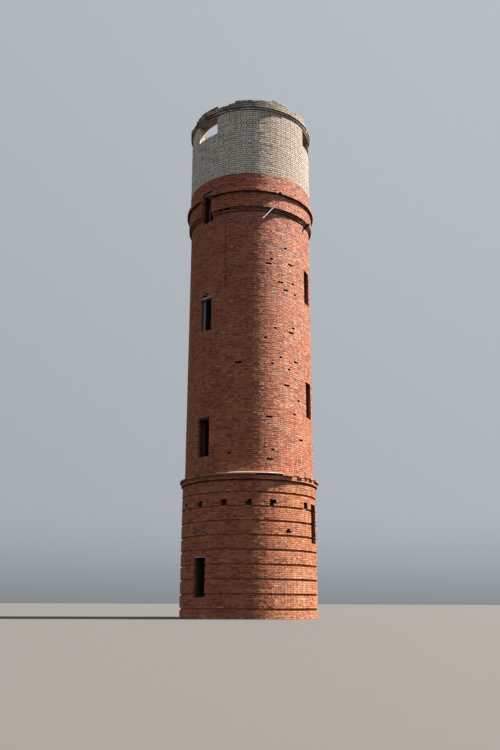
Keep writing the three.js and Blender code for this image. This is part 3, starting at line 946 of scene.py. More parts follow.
def fill_mesh(mesh, points, corners, lengths, places=None):
    """Fills a mesh with points and with faces of the given numbers of corners."""
    mesh.vertices.add(len(points))
    mesh.vertices.foreach_set("co", np.ascontiguousarray(points, np.float32).ravel())
    mesh.loops.add(len(corners))
    mesh.loops.foreach_set("vertex_index", corners.astype(np.int32))
    mesh.polygons.add(len(lengths))
    mesh.polygons.foreach_set("loop_start", (np.cumsum(lengths) - lengths).astype(np.int32))
    if places is not None:
        layer = mesh.uv_layers.new(name="OFBake")
        layer.data.foreach_set("uv", np.ascontiguousarray(places, np.float32).ravel())
    mesh.update(calc_edges=True)
    mesh.validate()
    mesh.shade_flat()


def add_object(name, data):
    item = bpy.data.objects.new(name, data)
    bpy.context.scene.collection.objects.link(item)
    return item


def place_piece(name, mesh, node, materials):
    """Puts a mesh on the tower in the place of its node."""
    for material in materials:
        mesh.materials.append(material)
    piece = add_object(name, mesh)
    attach(piece, "root")
    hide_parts(node)


def finish_node(node, material):
    """A solid that keeps its shape gets its finish."""
    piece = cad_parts[node]
    piece.data.materials.clear()
    piece.data.materials.append(material)


def fallen_recesses(start, end, low, high):
    """Missing bricks between two cuts and two heights, as recesses of a mortar body."""
    courses = courses_between(low, high)
    found = []
    for course, tile in FALLEN:
        first = cut_angle(start, course.radius)
        last = cut_angle(end, course.radius)
        turn = first + (tile.middle - first) % 360 - tile.middle
        left, right = tile.left + turn, tile.right + turn
        if course in courses and first + CUT_CLEAR < left and right < last - CUT_CLEAR:
            found.append((left, right, course.low, course.high, course.radius - MISSING_DEPTH))
    return found


def weep_recesses(start, end, low, high):
    """Open upright joints high in the grey wall."""
    outside = cut_angle(start, TANK_R) > WEEP_FROM or cut_angle(end, TANK_R) < WEEP_TO
    if outside or not low < WEEP_Z < high:
        return []
    course = next(course for course in COURSES if course.low <= WEEP_Z < course.high)
    return [(tile.left - 2 * WEEP_HALF, tile.left, course.low, course.high, TANK_R - WEEP_DEPTH)
            for tile in TILES[course.index] if is_weep(tile)]


def pocket_recesses(start, end, low, high):
    """Beam holes of the base."""
    if not low < POCKET_LOW < high:
        return []
    found = []
    back = BASE_R - POCKET_DEPTH
    for course in courses_between(POCKET_LOW, POCKET_LOW + POCKET_ROWS * RED_COURSE):
        first = cut_angle(start, course.radius)
        last = cut_angle(end, course.radius)
        for azimuth, half in gaps_at(course):
            middle = first + (azimuth - first) % 360
            reach = math.degrees(math.asin(half / course.radius))
            if half <= POCKET_HALF and first < middle - reach and middle + reach < last:
                found.append((middle - reach, middle + reach, course.low, course.high, back))
    return found


def recesses_in(*limits):
    return fallen_recesses(*limits) + weep_recesses(*limits) + pocket_recesses(*limits)


def lay_region(work, start, end, low, high, inner, top_open=False, bottom_open=False):
    """Lays the bricks of one stretch of wall, and puts its mortar body behind them. The wall of the
    tank room has bricks on its inside too."""
    if end[0] < start[0]:
        end = (end[0] + 360, end[1])
    lined = inner == TANK_IN
    for course in courses_between(low, high):
        tiles = tiles_between(course, start, end)
        work.lay_course(course, [tile for tile in tiles if (course, tile) not in FALLEN])
        if lined and course.low > TANK_FLOOR_TOP - FLOOR_COVER:
            work.lay_inner(course, tiles, TANK_IN, BRICK_WIDTH)
    rows = core_rows(low + BED_CLEAR * bottom_open, high - BED_CLEAR * top_open)
    back = inner + work.settings.recess * lined
    work.bodies.append(MortarBody(start, end, rows, back, recesses_in(start, end, low, high)))


def build_panel(node, seed, opening, low, high, inner, grey=False):
    """The masonry over or under an opening, with bricks right through beside the opening."""
    work = Brickwork(seed, grey)
    half = opening.half + work.settings.recess
    column = [o for o in OPENINGS if o.azimuth == opening.azimuth and o.inner == inner]
    over = [o for o in column if abs(o.low - high) < CLOSE]
    under = [o for o in column if abs(o.high - low) < CLOSE]
    start, end = (opening.azimuth, -half), (opening.azimuth, half)
    lay_region(work, start, end, low, high, inner, bool(over), bool(under))
    courses = courses_between(low, high)
    if over:
        work.lay_bed(over[0], courses[-1])
    if under:
        work.lay_bed(under[0], courses[0])
    work.build(node)


# Shader maths
class Wire:
    """An output of a shader node. Python's operators on it add Math nodes."""

    def __init__(self, paint, socket):
        self.paint, self.socket = paint, socket

    def __add__(self, other):
        return self.paint.maths("ADD", self, other)

    def __sub__(self, other):
        return self.paint.maths("SUBTRACT", self, other)

    def __rsub__(self, other):
        return self.paint.maths("SUBTRACT", other, self)

    def __mul__(self, other):
        return self.paint.maths("MULTIPLY", self, other)

    def __truediv__(self, other):
        return self.paint.maths("DIVIDE", self, other)

    def __rtruediv__(self, other):
        return self.paint.maths("DIVIDE", other, self)

    __radd__ = __add__
    __rmul__ = __mul__


class Wiring:
    """A tree of shader nodes being made."""

    def __init__(self, tree):
        self.tree = tree

    def link(self, socket, value):
        if isinstance(value, Wire):
            self.tree.links.new(value.socket, socket)
        elif isinstance(value, tuple) and len(value) == 3 and len(socket.default_value) == 4:
            socket.default_value = (*value, 1)
        else:
            socket.default_value = value

    def node(self, kind, settings=None, sockets=None, output=0):
        """Adds any node. Its settings come first, then the values or links of its sockets."""
        node = self.tree.nodes.new(kind)
        for name, value in (settings or {}).items():
            if name == "stops":
                self.set_stops(node.color_ramp, value)
            else:
                setattr(node, name, value)
        for name, value in (sockets or {}).items():
            self.link(node.inputs[name], value)
        return node if output is None else Wire(self, node.outputs[output])

    def set_stops(self, ramp, stops):
        first, last = ramp.elements
        first.position, first.color = stops[0][0], (*stops[0][1], 1)
        last.position, last.color = stops[-1][0], (*stops[-1][1], 1)
        for position, colour in stops[1:-1]:
            ramp.elements.new(position).color = (*colour, 1)

    def maths(self, operation, *values):
        return self.node("ShaderNodeMath", {"operation": operation}, dict(enumerate(values)))

    def between(self, value, low, high):
        """0 below low, 1 above high, smooth between them."""
        return self.node("ShaderNodeMapRange", {"interpolation_type": "SMOOTHSTEP"},
                         {"Value": value, "From Min": low, "From Max": high})


class Paint(Wiring):
    """A material being made: its nodes, and what they are made with."""

    def __init__(self, name):
        self.material = bpy.data.materials.new(name)
        self.material.use_nodes = True
        super().__init__(self.material.node_tree)
        self.shader = self.tree.nodes["Principled BSDF"]
        self.shader.inputs["Roughness"].default_value = 0.9
        self.shader.inputs["Specular IOR Level"].default_value = 0.25
        self.place = self.node("ShaderNodeTexCoord", output="Object")
        xyz = self.node("ShaderNodeSeparateXYZ", sockets={0: self.place}, output=None)
        self.x, self.y, self.z = (Wire(self, xyz.outputs[i]) for i in range(3))

    def band(self, value, low, full, end, high):
        """1 from full to end, fading to 0 at low and at high."""
        return self.between(value, low, full) * (1 - self.between(value, end, high))

    def stretched(self, across, along):
        """The place with its plan and its height scaled apart."""
        return self.node("ShaderNodeVectorMath", {"operation": "MULTIPLY"},
                         {0: self.place, 1: (across, across, along)})

    def noise(self, scale, detail=3, place=None):
        return self.node("ShaderNodeTexNoise", None, {
            "Vector": place or self.place, "Scale": scale, "Detail": detail, "Roughness": 0.55})

    def attribute(self, name):
        return self.node("ShaderNodeAttribute", {"attribute_name": name}, output="Fac")

    def ramp(self, value, stops):
        return self.node("ShaderNodeValToRGB", {"stops": stops}, {0: value})

    def mix(self, share, first, second, blend="MIX"):
        return self.node("ShaderNodeMix", {"data_type": "RGBA", "blend_type": blend},
                         {0: share, 6: first, 7: second}, output=2)

    def times(self, colour, value):
        """A colour made darker or lighter by a number."""
        return self.node("ShaderNodeVectorMath", {"operation": "SCALE"}, {0: colour, "Scale": value})

    def bump(self, height, strength, distance):
        normal = self.node("ShaderNodeBump", None,
                           {"Height": height, "Strength": strength, "Distance": distance})
        self.link(self.shader.inputs["Normal"], normal)

    def finish(self, colour, roughness=None):
        self.link(self.shader.inputs["Base Color"], colour)
        if roughness is not None:
            self.link(self.shader.inputs["Roughness"], roughness)
        return self.material


def finishes():
    """The colours of the finishes, each as a plain tuple."""
    settings = bpy.context.scene.tower_finish
    names = FinishSettings.__annotations__
    return SimpleNamespace(**{name: tuple(getattr(settings, name)) for name in names})


def made_once(make):
    """A material's function runs the first time that the material is asked for."""
    def get():
        name = f"aged_{make.__name__}"
        return bpy.data.materials.get(name) or make(Paint(name), finishes())
    return get


def radius_of(paint):
    return paint.maths("SQRT", paint.x * paint.x + paint.y * paint.y)


def azimuth_of(paint):
    return paint.maths("ARCTAN2", paint.x, paint.y * -1) * math.degrees(1)


def weather_side(paint):
    """1 on the side that the weather and the key light come from, less in its middle, and 0 on the
    sheltered side. It places weathering, and also painted light and shade that follow the key light.
    """
    turn = math.radians(SUN_AND_WEATHER_AZIMUTH)
    facing = (paint.x * math.sin(turn) - paint.y * math.cos(turn)) / radius_of(paint)
    return paint.between(facing, -0.25, 0.2) * (1 - paint.between(facing, 0.6, 0.95) * 0.45)


def beam_holes(paint):
    """1 at the height of the beam holes on the sheltered side, where they catch some light."""
    low = paint.band(paint.z, POCKET_LOW - 0.02, POCKET_LOW, BASE_TOP - 0.01, BASE_TOP + 0.01)
    return low * (1 - weather_side(paint))


def soot(paint):
    """How much light is left in the reveals and rooms below the tank floor: painted shade, darker the
    deeper a face lies behind the wall's face.
    """
    lower = 1 - paint.between(paint.z, BASE_TOP - 0.01, BASE_TOP + 0.01)
    deep = 1 - paint.between(radius_of(paint) - lower * (BASE_R - SHAFT_R), *RECESS_SHADE_RADII)
    # Painted shade in deep faces; the beam holes on the sheltered side are painted lighter
    dark = 0.86 - beam_holes(paint) * 0.5
    return 1 - deep * (1 - paint.between(paint.z, *RECESS_SHADE_END)) * dark


def ledge_dirt(paint):
    """How much light is left by painted shade under the belt, the corbel, the frieze and the string course,
    by a painted shadow over the corbel on the sunlit weather side, and in the base's recessed courses,
    which are painted darker on the sunlit weather side and lighter on the sheltered side."""
    left = 1
    for ledge, shade_depth in ((BASE_TOP, 0.7), (SHAFT_TOP, 0.5), (CORBEL_TOP, 0.5), (STRING_BOTTOM, 0.5)):
        # Painted shade: a dark line just under each ledge
        line = paint.band(paint.z, ledge - 0.09, ledge - 0.03, ledge - 0.003, ledge)
        left = left * (1 - line * shade_depth)
    # Painted shadow of the frieze over the corbel, on the sunlit weather side
    corbel_shadow = paint.band(paint.z, SHAFT_TOP - 0.02, SHAFT_TOP, CORBEL_TOP, CORBEL_TOP + 0.004)
    weather = weather_side(paint)
    left = left * (1 - corbel_shadow * weather * 0.5)
    below = 1 - paint.between(paint.z, BASE_TOP - 0.02, BASE_TOP)
    groove = 1 - paint.between(radius_of(paint), GROOVE_R + 0.008, GROOVE_R + 0.03)
    # Painted shade in the recessed courses on the sunlit side, painted light in them on the sheltered side
    return left * (1 - groove * below * (weather * 0.65 - 0.25))


def underside(paint):
    """1 on faces that look down, which are painted darker as shade."""
    normal = paint.node("ShaderNodeNewGeometry", output="Normal")
    up = Wire(paint, paint.node("ShaderNodeSeparateXYZ", sockets={0: normal}, output=None).outputs[2])
    return paint.between(up, -0.5, -0.8)


def water_stain(paint):
    """A dark run of water down the front, from under the frieze, with a blot at its end."""
    line = STAIN_AZIMUTH - (paint.z - STAIN_HEIGHT) * STAIN_LEAN
    away = paint.maths("ABSOLUTE", azimuth_of(paint) - line)
    wide = 0.45 + paint.noise(1.6, 3) * 0.9
    across = 1 - paint.between(away, wide * 0.4, wide)
    broken = paint.between(paint.noise(2.4, 4), 0.3, 0.5)
    run = across * paint.band(paint.z, *STAIN_BAND) * broken
    near = 1 - paint.between(away + paint.noise(7, 4) * 3, 1.4, 3.4)
    return paint.maths("MAXIMUM", run, paint.band(paint.z, *BLOT_BAND) * near)


def lime_bloom(paint, look, colour, mottle, weather):
    """White salts on the red bricks: soft patches, specks, and runs near the ground. They are heavier on
    the sunlit weather side, partly as painted light there.
    """
    height = 0.45 + paint.between(paint.z, 4, 8) * 0.65 + paint.between(paint.z, 9.5, 12) * 0.27
    patch = 0.2 + paint.between(paint.noise(2.6, 5), 0.34, 0.74) * 0.4
    grade = 0.25 + paint.between(paint.attribute("grade"), 0.3, 0.95)
    bloom = patch * grade * paint.between(mottle, 0.36, 0.58)
    colour = paint.mix(bloom * (0.1 + weather * height * 0.55), colour, look.lime)
    specks = paint.between(paint.noise(60, 4), 0.56, 0.67)
    colour = paint.mix(specks * (0.1 + weather * height * 0.6), colour, look.lime)
    runs = paint.between(paint.noise(1, 3, paint.stretched(9, 0.9)), 0.52, 0.62)
    return paint.mix(runs * paint.band(paint.z, *FOOT_BAND) * weather * 0.2, colour, look.lime)


@made_once
def red_brick(paint, look):
    below = 1 - paint.between(paint.z, BASE_TOP - 0.02, BASE_TOP)
    upper = paint.between(paint.z, *UPPER_SHAFT)
    weather = weather_side(paint)
    turn = azimuth_of(paint)
    tone = paint.attribute("tone") - paint.between(paint.z, 12, 15) * 0.04
    body = paint.ramp(paint.maths("MAXIMUM", tone, below * weather * 0.07), (
        (0.0, look.burnt), (0.035, look.burnt), (0.055, look.deep), (0.15, look.deep),
        (0.3, look.red), (0.68, look.red), (0.93, look.orange), (1.0, look.salmon)))
    mottle = paint.noise(24, 4)
    grit = paint.noise(260, 2)
    streaks = paint.noise(1, 4, paint.stretched(5, 0.45))
    shade = (0.81 + paint.noise(0.8, 4) * 0.16 + mottle * 0.22) * (0.94 + streaks * 0.12)
    colour = lime_bloom(paint, look, paint.times(body, shade), mottle, weather)
    pits = paint.between(paint.noise(45, 4), 0.4, 0.34)
    # Small dark marks, partly painted shadows of sunken bricks, strongest high up and on the sunlit base
    marks_and_shadows = paint.between(paint.noise(1, 6, paint.stretched(9, 30)), 0.52, 0.68)
    marks_and_shadows = marks_and_shadows * (0.28 + upper * 0.42 + below * weather * 0.35)
    # Painted light on the flank next to where the key light's shade ends, and a lighter upper shaft
    light = 1.02 + paint.band(turn, *PAINTED_LIGHT_FLANK) * 0.2 + upper * 0.06
    # Edge wear and painted shade at the bricks' edges and sides, pits, and dark marks
    worn = (1 - paint.attribute("wear") * 0.25) * (1 - pits * 0.35) * (1 - marks_and_shadows)
    colour = paint.times(colour, worn * light)
    colour = paint.mix(below * paint.between(turn, 12, 40), colour, BASE_TINT, "MULTIPLY")
    # Painted shade in deep faces and under the ledges
    colour = paint.times(colour, soot(paint) * ledge_dirt(paint))
    # A dark water stain, and painted shade on faces that look down
    colour = paint.times(colour, (1 - water_stain(paint) * 0.6) * (1 - underside(paint) * 0.75))
    paint.bump(grit * 0.5 + mottle, 0.6, 0.006)
    return paint.finish(colour, 0.84 + grit * 0.14)


@made_once
def red_mortar(paint, look):
    mottle = paint.noise(30, 4)
    cloud = paint.between(paint.noise(1.6, 5), 0.42, 0.66)
    colour = paint.mix(cloud * paint.between(mottle, 0.35, 0.6), look.red_mortar, look.lime_mortar)
    # Painted shade in deep holes, lighter in the beam holes on the sheltered side
    hollow_shade = paint.attribute("wear") * (0.85 - beam_holes(paint) * 0.65)
    colour = paint.times(colour, (0.6 + mottle * 0.8) * (1 - hollow_shade))
    # Painted shade in deep faces, under the ledges and on faces that look down
    colour = paint.times(colour, soot(paint) * ledge_dirt(paint) * (1 - underside(paint) * 0.75))
    paint.bump(mottle, 0.6, 0.006)
    return paint.finish(colour, 0.9 + mottle * 0.1)


def crown_growth(paint, colour, turn, weather):
    """Soil, rust and moss on the outer part of the broken crown, and lichen on its weather side."""
    crown = paint.between(paint.z, CORNICE_BOTTOM - 0.02, CORNICE_BOTTOM + 0.02)
    outside = crown * paint.between(radius_of(paint), 2.4, 2.5)
    covered = outside * (1 - paint.between(turn, 11, 15) * 0.65)
    sheltered = 1 - paint.between(turn, -50, -22)
    rust = paint.between(paint.noise(5, 4), 0.5, 0.64)
    dirty = paint.mix(rust * 0.6, CROWN_SOIL, CROWN_RUST)
    colour = paint.mix(covered * (0.38 + rust * 0.2 + sheltered * 0.12), colour, dirty)
    damp = paint.noise(3.2, 5) + (paint.z - 21.1) * 0.35 + (1 - weather) * 0.06
    moss = paint.between(damp, 0.54, 0.66)
    colour = paint.mix(covered * moss * (0.5 + sheltered * 0.3), colour, CROWN_MOSS)
    lichen = paint.between(paint.noise(6, 3), 0.56, 0.63)
    return paint.mix(outside * weather * lichen * 0.5, colour, LICHEN)


@made_once
def grey_brick(paint, look):
    turn = azimuth_of(paint)
    weather = weather_side(paint)
    body = paint.ramp(paint.attribute("tone"), (
        (0.0, look.silicate_dark), (0.16, look.silicate), (0.7, look.silicate), (1.0, look.silicate_pale)))
    mottle = paint.noise(22, 4)
    grit = paint.noise(240, 2)
    streaks = paint.noise(1, 4, paint.stretched(6, 0.4))
    shade = (0.85 + paint.noise(0.7, 4) * 0.14 + mottle * 0.16) * (0.93 + streaks * 0.14)
    varied = 1 + (paint.attribute("grade") - 0.5) * (1 - weather) * 0.24
    colour = paint.times(body, shade * varied)
    # Painted shade on the grey wall's sunlit flank
    colour = paint.mix(paint.band(turn, *GREY_SHADE_BAND), colour, GREY_FLANK_SHADE_TINT, "MULTIPLY")
    reveal_shade = 1 - paint.between(radius_of(paint), 2.6, 2.66)
    # Painted shade on the sunlit weather side and in the reveals
    colour = paint.mix(paint.maths("MAXIMUM", weather, reveal_shade), colour, PAINTED_SHADE_TINT, "MULTIPLY")
    colour = crown_growth(paint, colour, turn, weather)
    # Edge wear, painted shade at the bricks' edges and sides, and painted shade on faces that look down
    worn = (1 - paint.attribute("wear") * 0.3) * (1 - underside(paint) * 0.6)
    paint.bump(grit * 0.5 + mottle, 0.4, 0.003)
    return paint.finish(paint.times(colour, worn), 0.86 + grit * 0.12)


@made_once
def grey_mortar(paint, look):
    mottle = paint.noise(30, 4)
    # Mortar painted lighter on the sunlit weather side: painted light. Deep weep joints are painted darker
    # as shade.
    shade = (0.3 + mottle * 0.4) * (1 + weather_side(paint) * 2)
    colour = paint.times(look.grey_mortar, shade * (1 - paint.attribute("wear") * 0.85))
    paint.bump(mottle, 0.6, 0.006)
    return paint.finish(colour, 0.9 + mottle * 0.1)


@made_once
def inner_brick(paint, look):
    """The inside of the red walls: coursed brickwork drawn round the axis, painted very dark as the shade
    inside the tower, mottled like smoke.
    """
    turn = paint.maths("ARCTAN2", paint.x, paint.y)
    spot = paint.node("ShaderNodeCombineXYZ", None, {0: turn * SHAFT_IN, 1: paint.z})
    bricks = paint.node("ShaderNodeTexBrick", None, {
        "Vector": spot, "Color1": look.red, "Color2": look.deep, "Mortar": look.red_mortar,
        "Scale": 1, "Mortar Size": 0.005, "Brick Width": BOND_STEP, "Row Height": RED_COURSE})
    smoke_and_shade = paint.noise(1.2, 4)
    paint.bump(paint.noise(30, 4), 0.6, 0.005)
    return paint.finish(paint.times(bricks, 0.06 + smoke_and_shade * 0.2), 0.95)


@made_once
def cement(paint, look):
    cloud = paint.noise(3, 5)
    grit = paint.noise(120, 3)
    stain = paint.between(paint.noise(1, 4, paint.stretched(9, 2)), 0.5, 0.7)
    colour = paint.times(look.cement, 0.7 + cloud * 0.5)
    colour = paint.mix(stain * 0.45, colour, CEMENT_STAIN)
    ragged = azimuth_of(paint) + (cloud - 0.5) * math.degrees(0.3)
    mossy = 1 - paint.between(ragged, -27, -23)
    colour = paint.mix(mossy * 0.85, colour, CEMENT_MOSS)
    paint.bump(grit + cloud * 2, 0.5, 0.005)
    return paint.finish(colour, 0.82 + grit * 0.15)


@made_once
def concrete(paint, look):
    cloud = paint.noise(2.2, 5)
    boards = paint.noise(1, 3, paint.stretched(2.2, 26))
    grit = paint.noise(110, 3)
    colour = paint.times(look.concrete, 0.55 + cloud * 0.6 + boards * 0.3)
    rust = paint.between(paint.noise(3, 4), 0.48, 0.64)
    colour = paint.mix(rust * 0.6, colour, CONCRETE_RUST)
    moss = paint.between(paint.noise(4, 4), 0.5, 0.66)
    colour = paint.mix(moss * 0.6, colour, CONCRETE_MOSS)
    paint.bump(grit + boards * 2, 0.6, 0.004)
    # Painted shade on faces that look down
    return paint.finish(paint.times(colour, 1 - underside(paint) * 0.5), 0.86 + grit * 0.12)


@made_once
def timber(paint, look):
    grain = paint.noise(1, 5, paint.stretched(90, 3))
    body = paint.ramp(paint.attribute("tone"), (
        (0.0, look.old_timber), (0.35, look.brown_timber), (0.65, look.timber), (1.0, look.pale_timber)))
    colour = paint.times(body, 0.45 + grain * 0.7 + paint.noise(5, 3) * 0.3)
    cracks = 1 - paint.between(grain, 0.36, 0.44)
    paint.bump(grain, 0.8, 0.003)
    return paint.finish(paint.mix(cracks, colour, TIMBER_CRACK), 0.78 + grain * 0.2)


@made_once
def rusty_iron(paint, look):
    rust = paint.between(paint.noise(18, 5), 0.42, 0.62)
    paint.bump(paint.noise(160, 3) + rust, 0.6, 0.002)
    return paint.finish(paint.mix(rust * 0.5, look.iron, IRON_RUST), 0.85 + rust * 0.15)


@made_once
def pale_pipe(paint, look):
    flakes = paint.between(paint.noise(40, 4), 0.62, 0.68)
    paint.bump(flakes, 0.4, 0.001)
    return paint.finish(paint.mix(flakes, look.pipe, PIPE_RUST), 0.45 + flakes * 0.4)


# Stage
def add_camera():
    lens = bpy.data.cameras.new("camera")
    lens.lens = LENS
    lens.sensor_width = SENSOR_WIDTH
    lens.clip_end = FAR_CLIP
    camera = add_object("camera", lens)
    camera.location = CAMERA_PLACE
    camera.rotation_mode = "QUATERNION"
    rise = Euler((math.radians(90 + CAMERA_RISE), 0, 0)).to_quaternion()
    camera.rotation_quaternion = rise @ Quaternion((0, 0, 1), math.radians(CAMERA_ROLL))
    bpy.context.scene.camera = camera


def add_key_light(light):
    key = bpy.data.lights.new("key", "SUN")
    key.energy = light.key
    key.angle = math.radians(light.softness)
    key.color = light.sun
    sun = add_object("key", key)
    sun.rotation_euler = (math.radians(90 - light.elevation), 0, math.radians(light.azimuth))


def sun_direction(light):
    azimuth, elevation = math.radians(light.azimuth), math.radians(light.elevation)
    across, up = math.cos(elevation), math.sin(elevation)
    return (across * math.sin(azimuth), -across * math.cos(azimuth), up)


def add_fill_light(light):
    """Light all round: from above and below, and brighter on the side of the key light."""
    world = bpy.data.worlds.new("fill")
    world.use_nodes = True
    wiring = Wiring(world.node_tree)
    direction = wiring.node("ShaderNodeTexCoord", output="Generated")
    height = wiring.node("ShaderNodeSeparateXYZ", sockets={0: direction}, output=2)
    glow = wiring.node("ShaderNodeVectorMath", {"operation": "DOT_PRODUCT"},
                       {0: direction, 1: sun_direction(light)}, output="Value")
    strength = light.ground + wiring.between(height, -0.12, 0.12) * (light.fill - light.ground)
    background = world.node_tree.nodes["Background"]
    wiring.link(background.inputs["Color"], tuple(light.sky))
    wiring.link(background.inputs["Strength"], strength * (1 + glow * light.glow))
    bpy.context.scene.world = world


def add_floor(light):
    corners = [(x * FLOOR_HALF, y * FLOOR_HALF, 0) for x, y in ((-1, -1), (1, -1), (1, 1), (-1, 1))]
    mesh = bpy.data.meshes.new("floor")
    fill_mesh(mesh, np.array(corners), np.arange(4), np.array([4]))
    mesh.materials.append(Paint("floor").finish(tuple(light.floor)))
    floor = add_object("floor", mesh)
    floor.visible_diffuse = False


# Operators
class PieceOperator:
    bl_options = {"REGISTER", "UNDO"}


class TOWER_OT_stage(PieceOperator, bpy.types.Operator):
    """Camera, key light, light all round and the floor"""
    bl_idname = "tower.stage"
    bl_label = "Stage"

    def execute(self, context):
        light = context.scene.tower_light
        add_camera()
        add_key_light(light)
        add_fill_light(light)
        add_floor(light)
        context.scene.view_settings.view_transform = "Standard"
        return {"FINISHED"}


class TOWER_OT_base(PieceOperator, bpy.types.Operator):
    """Base storey with its recessed courses, beam holes, windows and doorway"""
    bl_idname = "tower.base"
    bl_label = "Base storey"

    def execute(self, context):
        clear = context.scene.tower_masonry.recess
        left = opening_at(LEFT, LEFT_WINDOWS[0][0])
        right = opening_at(BASE_RIGHT, BASE_RIGHT_WINDOW[0])
        door = opening_at(REAR, 0)
        walls = (("front", left, right), ("right", right, door), ("left", door, left))
        for i, (side, start, end) in enumerate(walls):
            work = Brickwork(BASE_SEED + i)
            lay_region(work, (start.azimuth, start.half + clear), (end.azimuth, -end.half - clear),
                       0, BASE_TOP, BASE_IN)
            work.lay_reveal(start, 1)
            work.lay_reveal(end, -1)
            work.build(f"base_wall_{side}")
        panels = (("base_left_window_apron", left, 0, left.low),
                  ("base_left_window_head", left, left.high, BASE_TOP),
                  ("base_right_window_apron", right, 0, right.low),
                  ("base_right_window_head", right, right.high, BASE_TOP),
                  ("doorway_head", door, door.high, BASE_TOP))
        for i, (node, opening, low, high) in enumerate(panels):
            build_panel(node, BASE_PANEL_SEED + i, opening, low, high, BASE_IN)
        return {"FINISHED"}


class TOWER_OT_belt(PieceOperator, bpy.types.Operator):
    """Projecting belt over the base, its fallen bricks and the cement left on it"""
    bl_idname = "tower.belt"
    bl_label = "Belt"

    def execute(self, context):
        for i, side in enumerate(("front", "right", "left")):
            start, end = (BELT_JOINTS[i], 0), (BELT_JOINTS[i + 1], 0)
            work = Brickwork(BELT_SEED + i)
            for course in courses_between(BASE_TOP, BELT_TOP):
                tiles = tiles_between(course, start, end)
                if course.radius == BELT_LIP_R:
                    tiles = [tile for tile in tiles if not self.is_bitten(tile.middle)]
                work.lay_course(course, tiles)
            lip = course_at(LIP_BOTTOM)
            bites = [(low, high, lip.low, lip.high, BITE_R) for low, high in BELT_BITES
                     if start[0] < low < end[0]]
            work.bodies.append(MortarBody(start, end, core_rows(BASE_TOP, BELT_TOP), BASE_IN, bites))
            work.build(f"belt_{side}")
        for i, (low, high) in enumerate(CAP_RANGES):
            self.build_cap(f"belt_cap_{i + 1}", low, high, CAP_SEED + i)
        return {"FINISHED"}

    def is_bitten(self, azimuth):
        return any(low < turned_near(azimuth, low) < high for low, high in BELT_BITES)

    def build_cap(self, node, low, high, seed):
        """Cement weathering with a rounded, broken edge, swept round the ledge."""
        chance = np.random.default_rng(seed)
        stations = np.arange(low, high + 0.01, CAP_STEP)

        def wavering(step, draw):
            knots = np.arange(low, high + step + 1, step)
            return np.interp(stations, knots, draw(size=len(knots)))

        rough = wavering(1.0, chance.normal)
        broken = wavering(3.0, chance.uniform)
        ends = np.minimum(stations - low, high - stations)
        edge = CAP_EDGE - np.abs(rough) * 0.007 - np.maximum(broken - 0.7, 0) * 0.09
        edge -= np.maximum(1.5 - ends, 0) * 0.05
        inner = np.full(len(stations), SHAFT_R - 0.008)
        bottom = BELT_TOP - BED_CLEAR - 0.002
        profile = (
            (inner, bottom), (edge - 0.012, bottom), (edge - 0.002, bottom + 0.012),
            (edge, BELT_TOP + 0.008), (edge - 0.006, BELT_TOP + 0.02), (edge - 0.022, BELT_TOP + 0.03),
            (edge - 0.05, BELT_TOP + 0.035), (inner, BELT_TOP + 0.05))
        mesh = swept_mesh(node, stations, profile)
        place_piece(f"{node}_surface", mesh, node, [cement()])


def swept_mesh(name, stations, profile):
    """A closed body from a profile of rings, each a radius at every azimuth and a height."""
    rings = len(profile)
    points = [(*polar(azimuth, radii[k]), z) for k, azimuth in enumerate(stations) for radii, z in profile]
    faces = []
    for k in range(len(stations) - 1):
        for j in range(rings):
            n = (j + 1) % rings
            faces.append((k * rings + j, (k + 1) * rings + j, (k + 1) * rings + n, k * rings + n))
    faces.append(tuple(range(rings)))
    faces.append(tuple((len(stations) - 1) * rings + j for j in reversed(range(rings))))
    mesh = bpy.data.meshes.new(name)
    mesh.from_pydata(points, [], faces)
    return mesh


class TOWER_OT_shaft(PieceOperator, bpy.types.Operator):
    """Plain shaft between the belt and the frieze, in lifts, with its columns of windows"""
    bl_idname = "tower.shaft"
    bl_label = "Shaft"

    def execute(self, context):
        half = WINDOW_HALF + context.scene.tower_masonry.recess
        height = (SHAFT_TOP - BELT_TOP) / SHAFT_LIFTS
        walls = (("front", LEFT, RIGHT), ("right", RIGHT, REAR), ("left", REAR, LEFT))
        for i, (side, start, end) in enumerate(walls):
            for lift in range(SHAFT_LIFTS):
                low = BELT_TOP + lift * height
                work = Brickwork(SHAFT_SEED + i * SHAFT_LIFTS + lift)
                lay_region(work, (start, half), (end, -half), low, low + height, SHAFT_IN)
                for opening in OPENINGS:
                    if opening.azimuth == start:
                        work.lay_reveal(opening, 1, low, low + height)
                    if opening.azimuth == end:
                        work.lay_reveal(opening, -1, low, low + height)
                work.build(f"shaft_wall_{side}", f"lift_{lift + 1}")
        for side, azimuth in (("left", LEFT), ("right", RIGHT), ("rear", REAR)):
            self.build_column(side, azimuth)
        return {"FINISHED"}

    def build_column(self, side, azimuth):
        """The brickwork between the windows of a column."""
        windows = [o for o in OPENINGS if o.azimuth == azimuth and o.outer == SHAFT_R]
        edges = [BELT_TOP, *(z for window in windows for z in (window.low, window.high)), SHAFT_TOP]
        for i, (low, high) in enumerate(zip(edges[::2], edges[1::2])):
            if low < high:
                node, seed = f"shaft_{side}_panel_{i + 1}", SHAFT_PANEL_SEED + 2 * i
                build_panel(node, seed, windows[0], low, high, SHAFT_IN)


